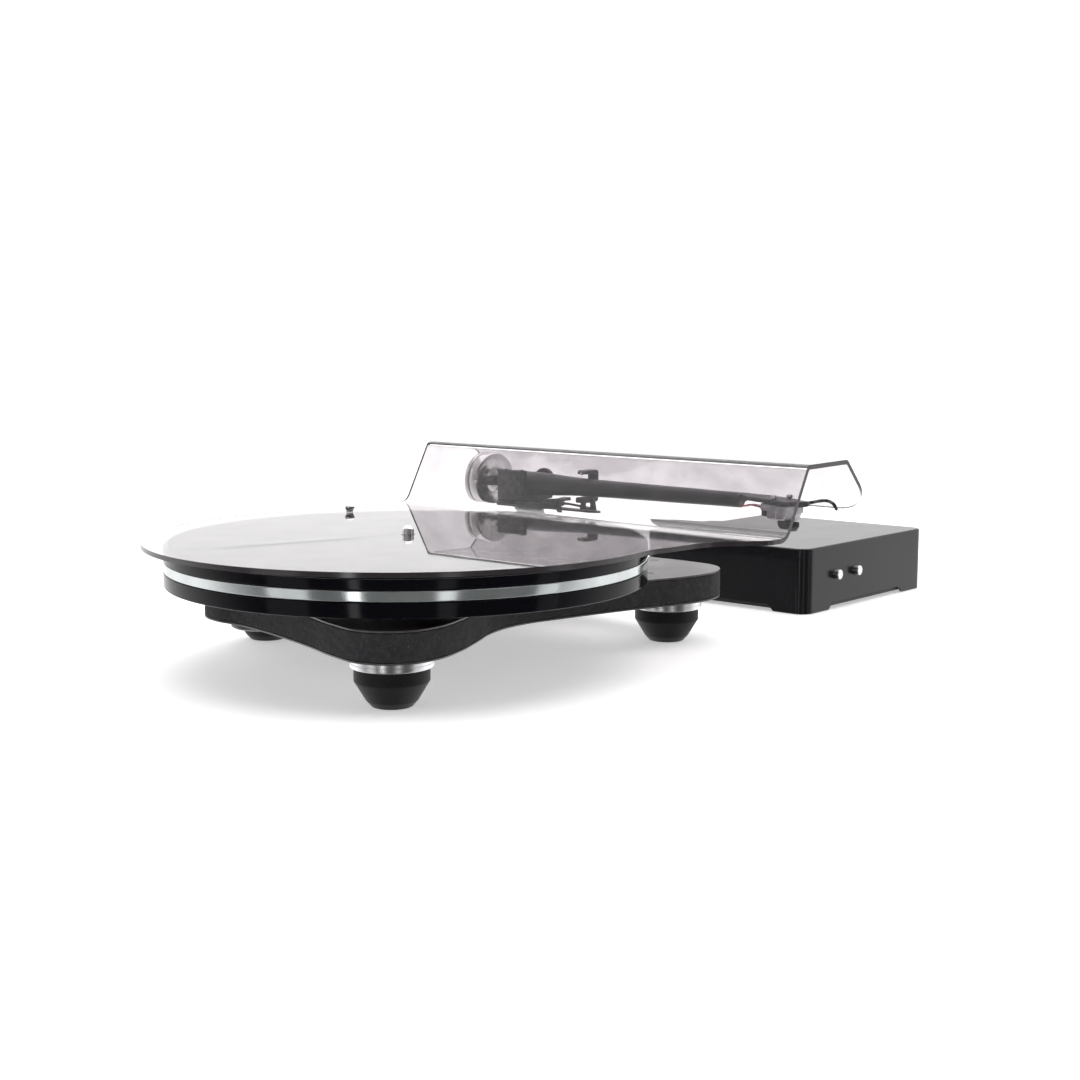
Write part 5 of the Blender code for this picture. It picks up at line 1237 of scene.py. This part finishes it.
# ---- Power box: folded shell over a moulded base -----------------------------------------------
# The supply stands beside the deck. Its shell has round corners and arched lower edges, and
# is powder-coated satin black; two turned buttons stand in front, two sockets behind.
BOX_CORNER, BOX_TOP_SOFT, BOX_WALL, ARCH_HIGH = 0.0100, 0.0014, 0.0022, 0.0050
case_black = speckled("satin powder coat", (0.0060, 0.0060, 0.0075), (0.018, 0.018, 0.020), 0.22,
                      scale=2400.0, cover=0.26, drift_value=0.01, bump=0.03, specular=0.30, wear_and_sheen=0.35,
                      worn_and_sheen_colour=(0.05, 0.05, 0.055))
low, high, middle, half_size = extent("power_case")
size_x, size_y = high[0] - low[0], high[1] - low[1]
plan = flowing(rounded([(low[0], low[1]), (high[0], low[1]), (high[0], high[1]), (low[0], high[1])],
                       BOX_CORNER, True, 14),
               0.0010)


def arch_height(line):
    """How far the lower edge rises at each point of the outline: a smooth step up between feet
    that run from the corners, 36 mm long in front and behind and 30 mm at the sides."""
    from_corner = np.minimum(np.abs(line - low[:2]), np.abs(high[:2] - line))
    along_x, along_y = from_corner.T
    along = np.where(along_x > along_y, along_x - 0.0330, along_y - 0.0270)
    share = np.clip(along / 0.0060, 0, 1)
    return ARCH_HIGH * share * share * (3 - 2 * share)


def wall_rings(inset, levels):
    """The outline drawn in by an inset at each level; the lowest follows the arches."""
    line = plan + inset * inward(plan)
    edge = low[2] + arch_height(plan)
    return np.array([np.column_stack([line, edge + (high[2] - edge) * share]) for share in levels])


wall_steps = np.array([0.0, 0.010, 0.03, 0.25, 0.5, 0.75])
outer = wall_rings(0.0, wall_steps)
turn = np.linspace(0, math.pi / 2, 7)
shoulder_rows = [np.column_stack([plan + BOX_TOP_SOFT * (1 - math.cos(a)) * inward(plan),
                                  np.full(len(plan),
                                          high[2] - BOX_TOP_SOFT * (1 - math.sin(a)))]) for a in turn]
lid = np.column_stack([plan + (BOX_TOP_SOFT + 0.0012) * inward(plan), np.full(len(plan), high[2])])
inside = wall_rings(BOX_WALL, wall_steps)
inside[-1, :, 2] = high[2] - BOX_WALL
lip = wall_rings(BOX_WALL * 0.5, [0.0])
lip[..., 2] -= 0.0003
shell = np.concatenate([inside[::-1], lip, outer, shoulder_rows, [lid]])
case = piece("power_shell", [skin(shell)], case_black, "power_box", ["power_case"])


def drill(target, name, centre, radius, half_depth):
    """Cut a round hole along Y with a boolean, and keep its result as the piece's mesh."""
    rod_profile = [(radius * 0.02, -half_depth), (radius, -half_depth), (radius, half_depth),
                   (radius * 0.02, half_depth)]
    surface = skin(turned(rod_profile, centre, (0, 1, 0), 48))
    mesh = bpy.data.meshes.new(name)
    mesh.from_pydata(surface[0].tolist(), [], [f for f in np.split(surface[1], np.cumsum(surface[2])[:-1])])
    cutter = bpy.data.objects.new(name, mesh)
    bpy.context.scene.collection.objects.link(cutter)
    cut_hole = target.modifiers.new(name, "BOOLEAN")
    cut_hole.operation, cut_hole.solver, cut_hole.object = "DIFFERENCE", "EXACT", cutter
    settle(target, target.name)
    bpy.data.objects.remove(cutter)


for node in ("power_button", "speed_button"):
    _, _, at, half_size = extent(node)
    drill(case, f"{node} hole", (at[0], low[1], at[2]), half_size[0] + 0.0003, 0.010)
for node in ("power_socket", "motor_outlet"):
    _, _, at, half_size = extent(node)
    drill(case, f"{node} hole", (at[0], high[1], at[2]), half_size[0] + 0.0002, 0.010)
case.data.set_sharp_from_angle(angle=math.radians(38))

for node in ("power_button", "speed_button"):
    low, high, middle, half_size = extent(node)
    reach = half_size[0]
    knob = rounded([(0.0003, -high[1]), (reach, -high[1]), (reach, -low[1]), (reach * 0.6, -low[1] - 0.00015),
                    (0.0003, -low[1] - 0.0002)], [0, 0.0002, 0.0006, 0.001, 0], steps=6)
    piece(f"{node}_cap", [skin(turned(knob, (middle[0], 0.0, middle[2]), (0, -1, 0), 96))], aluminium,
          "power_key" if node == "power_button" else "speed_key", [node])

for node in ("power_socket", "motor_outlet"):
    low, high, middle, half_size = extent(node)
    reach, bore = half_size[0], 0.0040
    jack = rounded([(0.0003, low[1] + 0.0020), (bore, low[1] + 0.0020), (bore, high[1]), (reach, high[1]),
                    (reach, low[1]), (0.0003, low[1])][::-1], [0, 0.0003, 0.0003, 0.0003, 0.0002, 0], steps=4)
    contact = rounded([(0.0002, low[1] + 0.0015), (0.0010, low[1] + 0.0015), (0.0010, high[1] - 0.0012),
                       (0.0002, high[1] - 0.0010)], [0, 0, 0.0006, 0], steps=4)
    piece(f"{node}_jack", [skin(turned(jack, (middle[0], 0.0, middle[2]), (0, 1, 0), 64))], plastic,
          "power_box", [node])
    piece(f"{node}_contact", [skin(turned(contact, (middle[0], 0.0, middle[2]), (0, 1, 0), 24))],
          contact_gold, "power_box")

low, high, middle, half_size = extent("power_base")
slab_low, pad_reach = low[2] + 0.0020, 0.0090
base_line = flowing(rounded([(low[0], low[1]), (high[0], low[1]), (high[0], high[1]), (low[0], high[1])],
                            0.0080, True, 8), 0.002)
pads = []
case_low, case_high = extent("power_case")[:2]
for x in (case_low[0] + 0.020, case_high[0] - 0.020):
    for y in (case_low[1] + 0.020, case_high[1] - 0.020):
        pad_line = rounded([(0.0004, low[2]), (pad_reach, low[2]), (pad_reach, slab_low + 0.0005),
                            (0.0004, slab_low + 0.0005)],
                           [0, 0.0007, 0, 0], steps=4)
        pads.append(skin(turned(pad_line, (x, y, 0.0), steps=64)))
piece("power_base_tray", [slab([base_line], slab_low, high[2], 0.0006)] + pads, plastic, "power_box",
      ["power_base"])

# Inside the supply: a board, and a ring transformer whose copper turns lie side by side.
board_green = speckled("solder mask", (0.012, 0.085, 0.040), (0.30, 0.22, 0.10), 0.38, scale=700.0,
                       cover=0.20, bump=0.3)
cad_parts["power_board"].data.materials.clear()
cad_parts["power_board"].data.materials.append(board_green)
copper = speckled("enamelled copper", (0.42, 0.16, 0.07), (0.55, 0.25, 0.12), 0.30, scale=1800.0,
                  metallic=0.8, bump=0.1)
low, high, middle, half_size = extent("power_transformer")
ring = rounded([(0.0112, low[2]), (half_size[0], low[2]), (half_size[0], high[2]), (0.0112, high[2])], 0.0050,
               True, 8)
rows = turned(ring, (*middle[:2], 0.0), steps=720)
wind = 1 - 0.010 * (0.5 + 0.5 * np.cos(120 * np.linspace(0, math.tau, 720, endpoint=False)))[None, :, None]
rows[..., :2] = middle[:2] + (rows[..., :2] - middle[:2]) * wind
piece("ring_transformer", [skin(rows, joined=True)], copper, "power_box", ["power_transformer"])
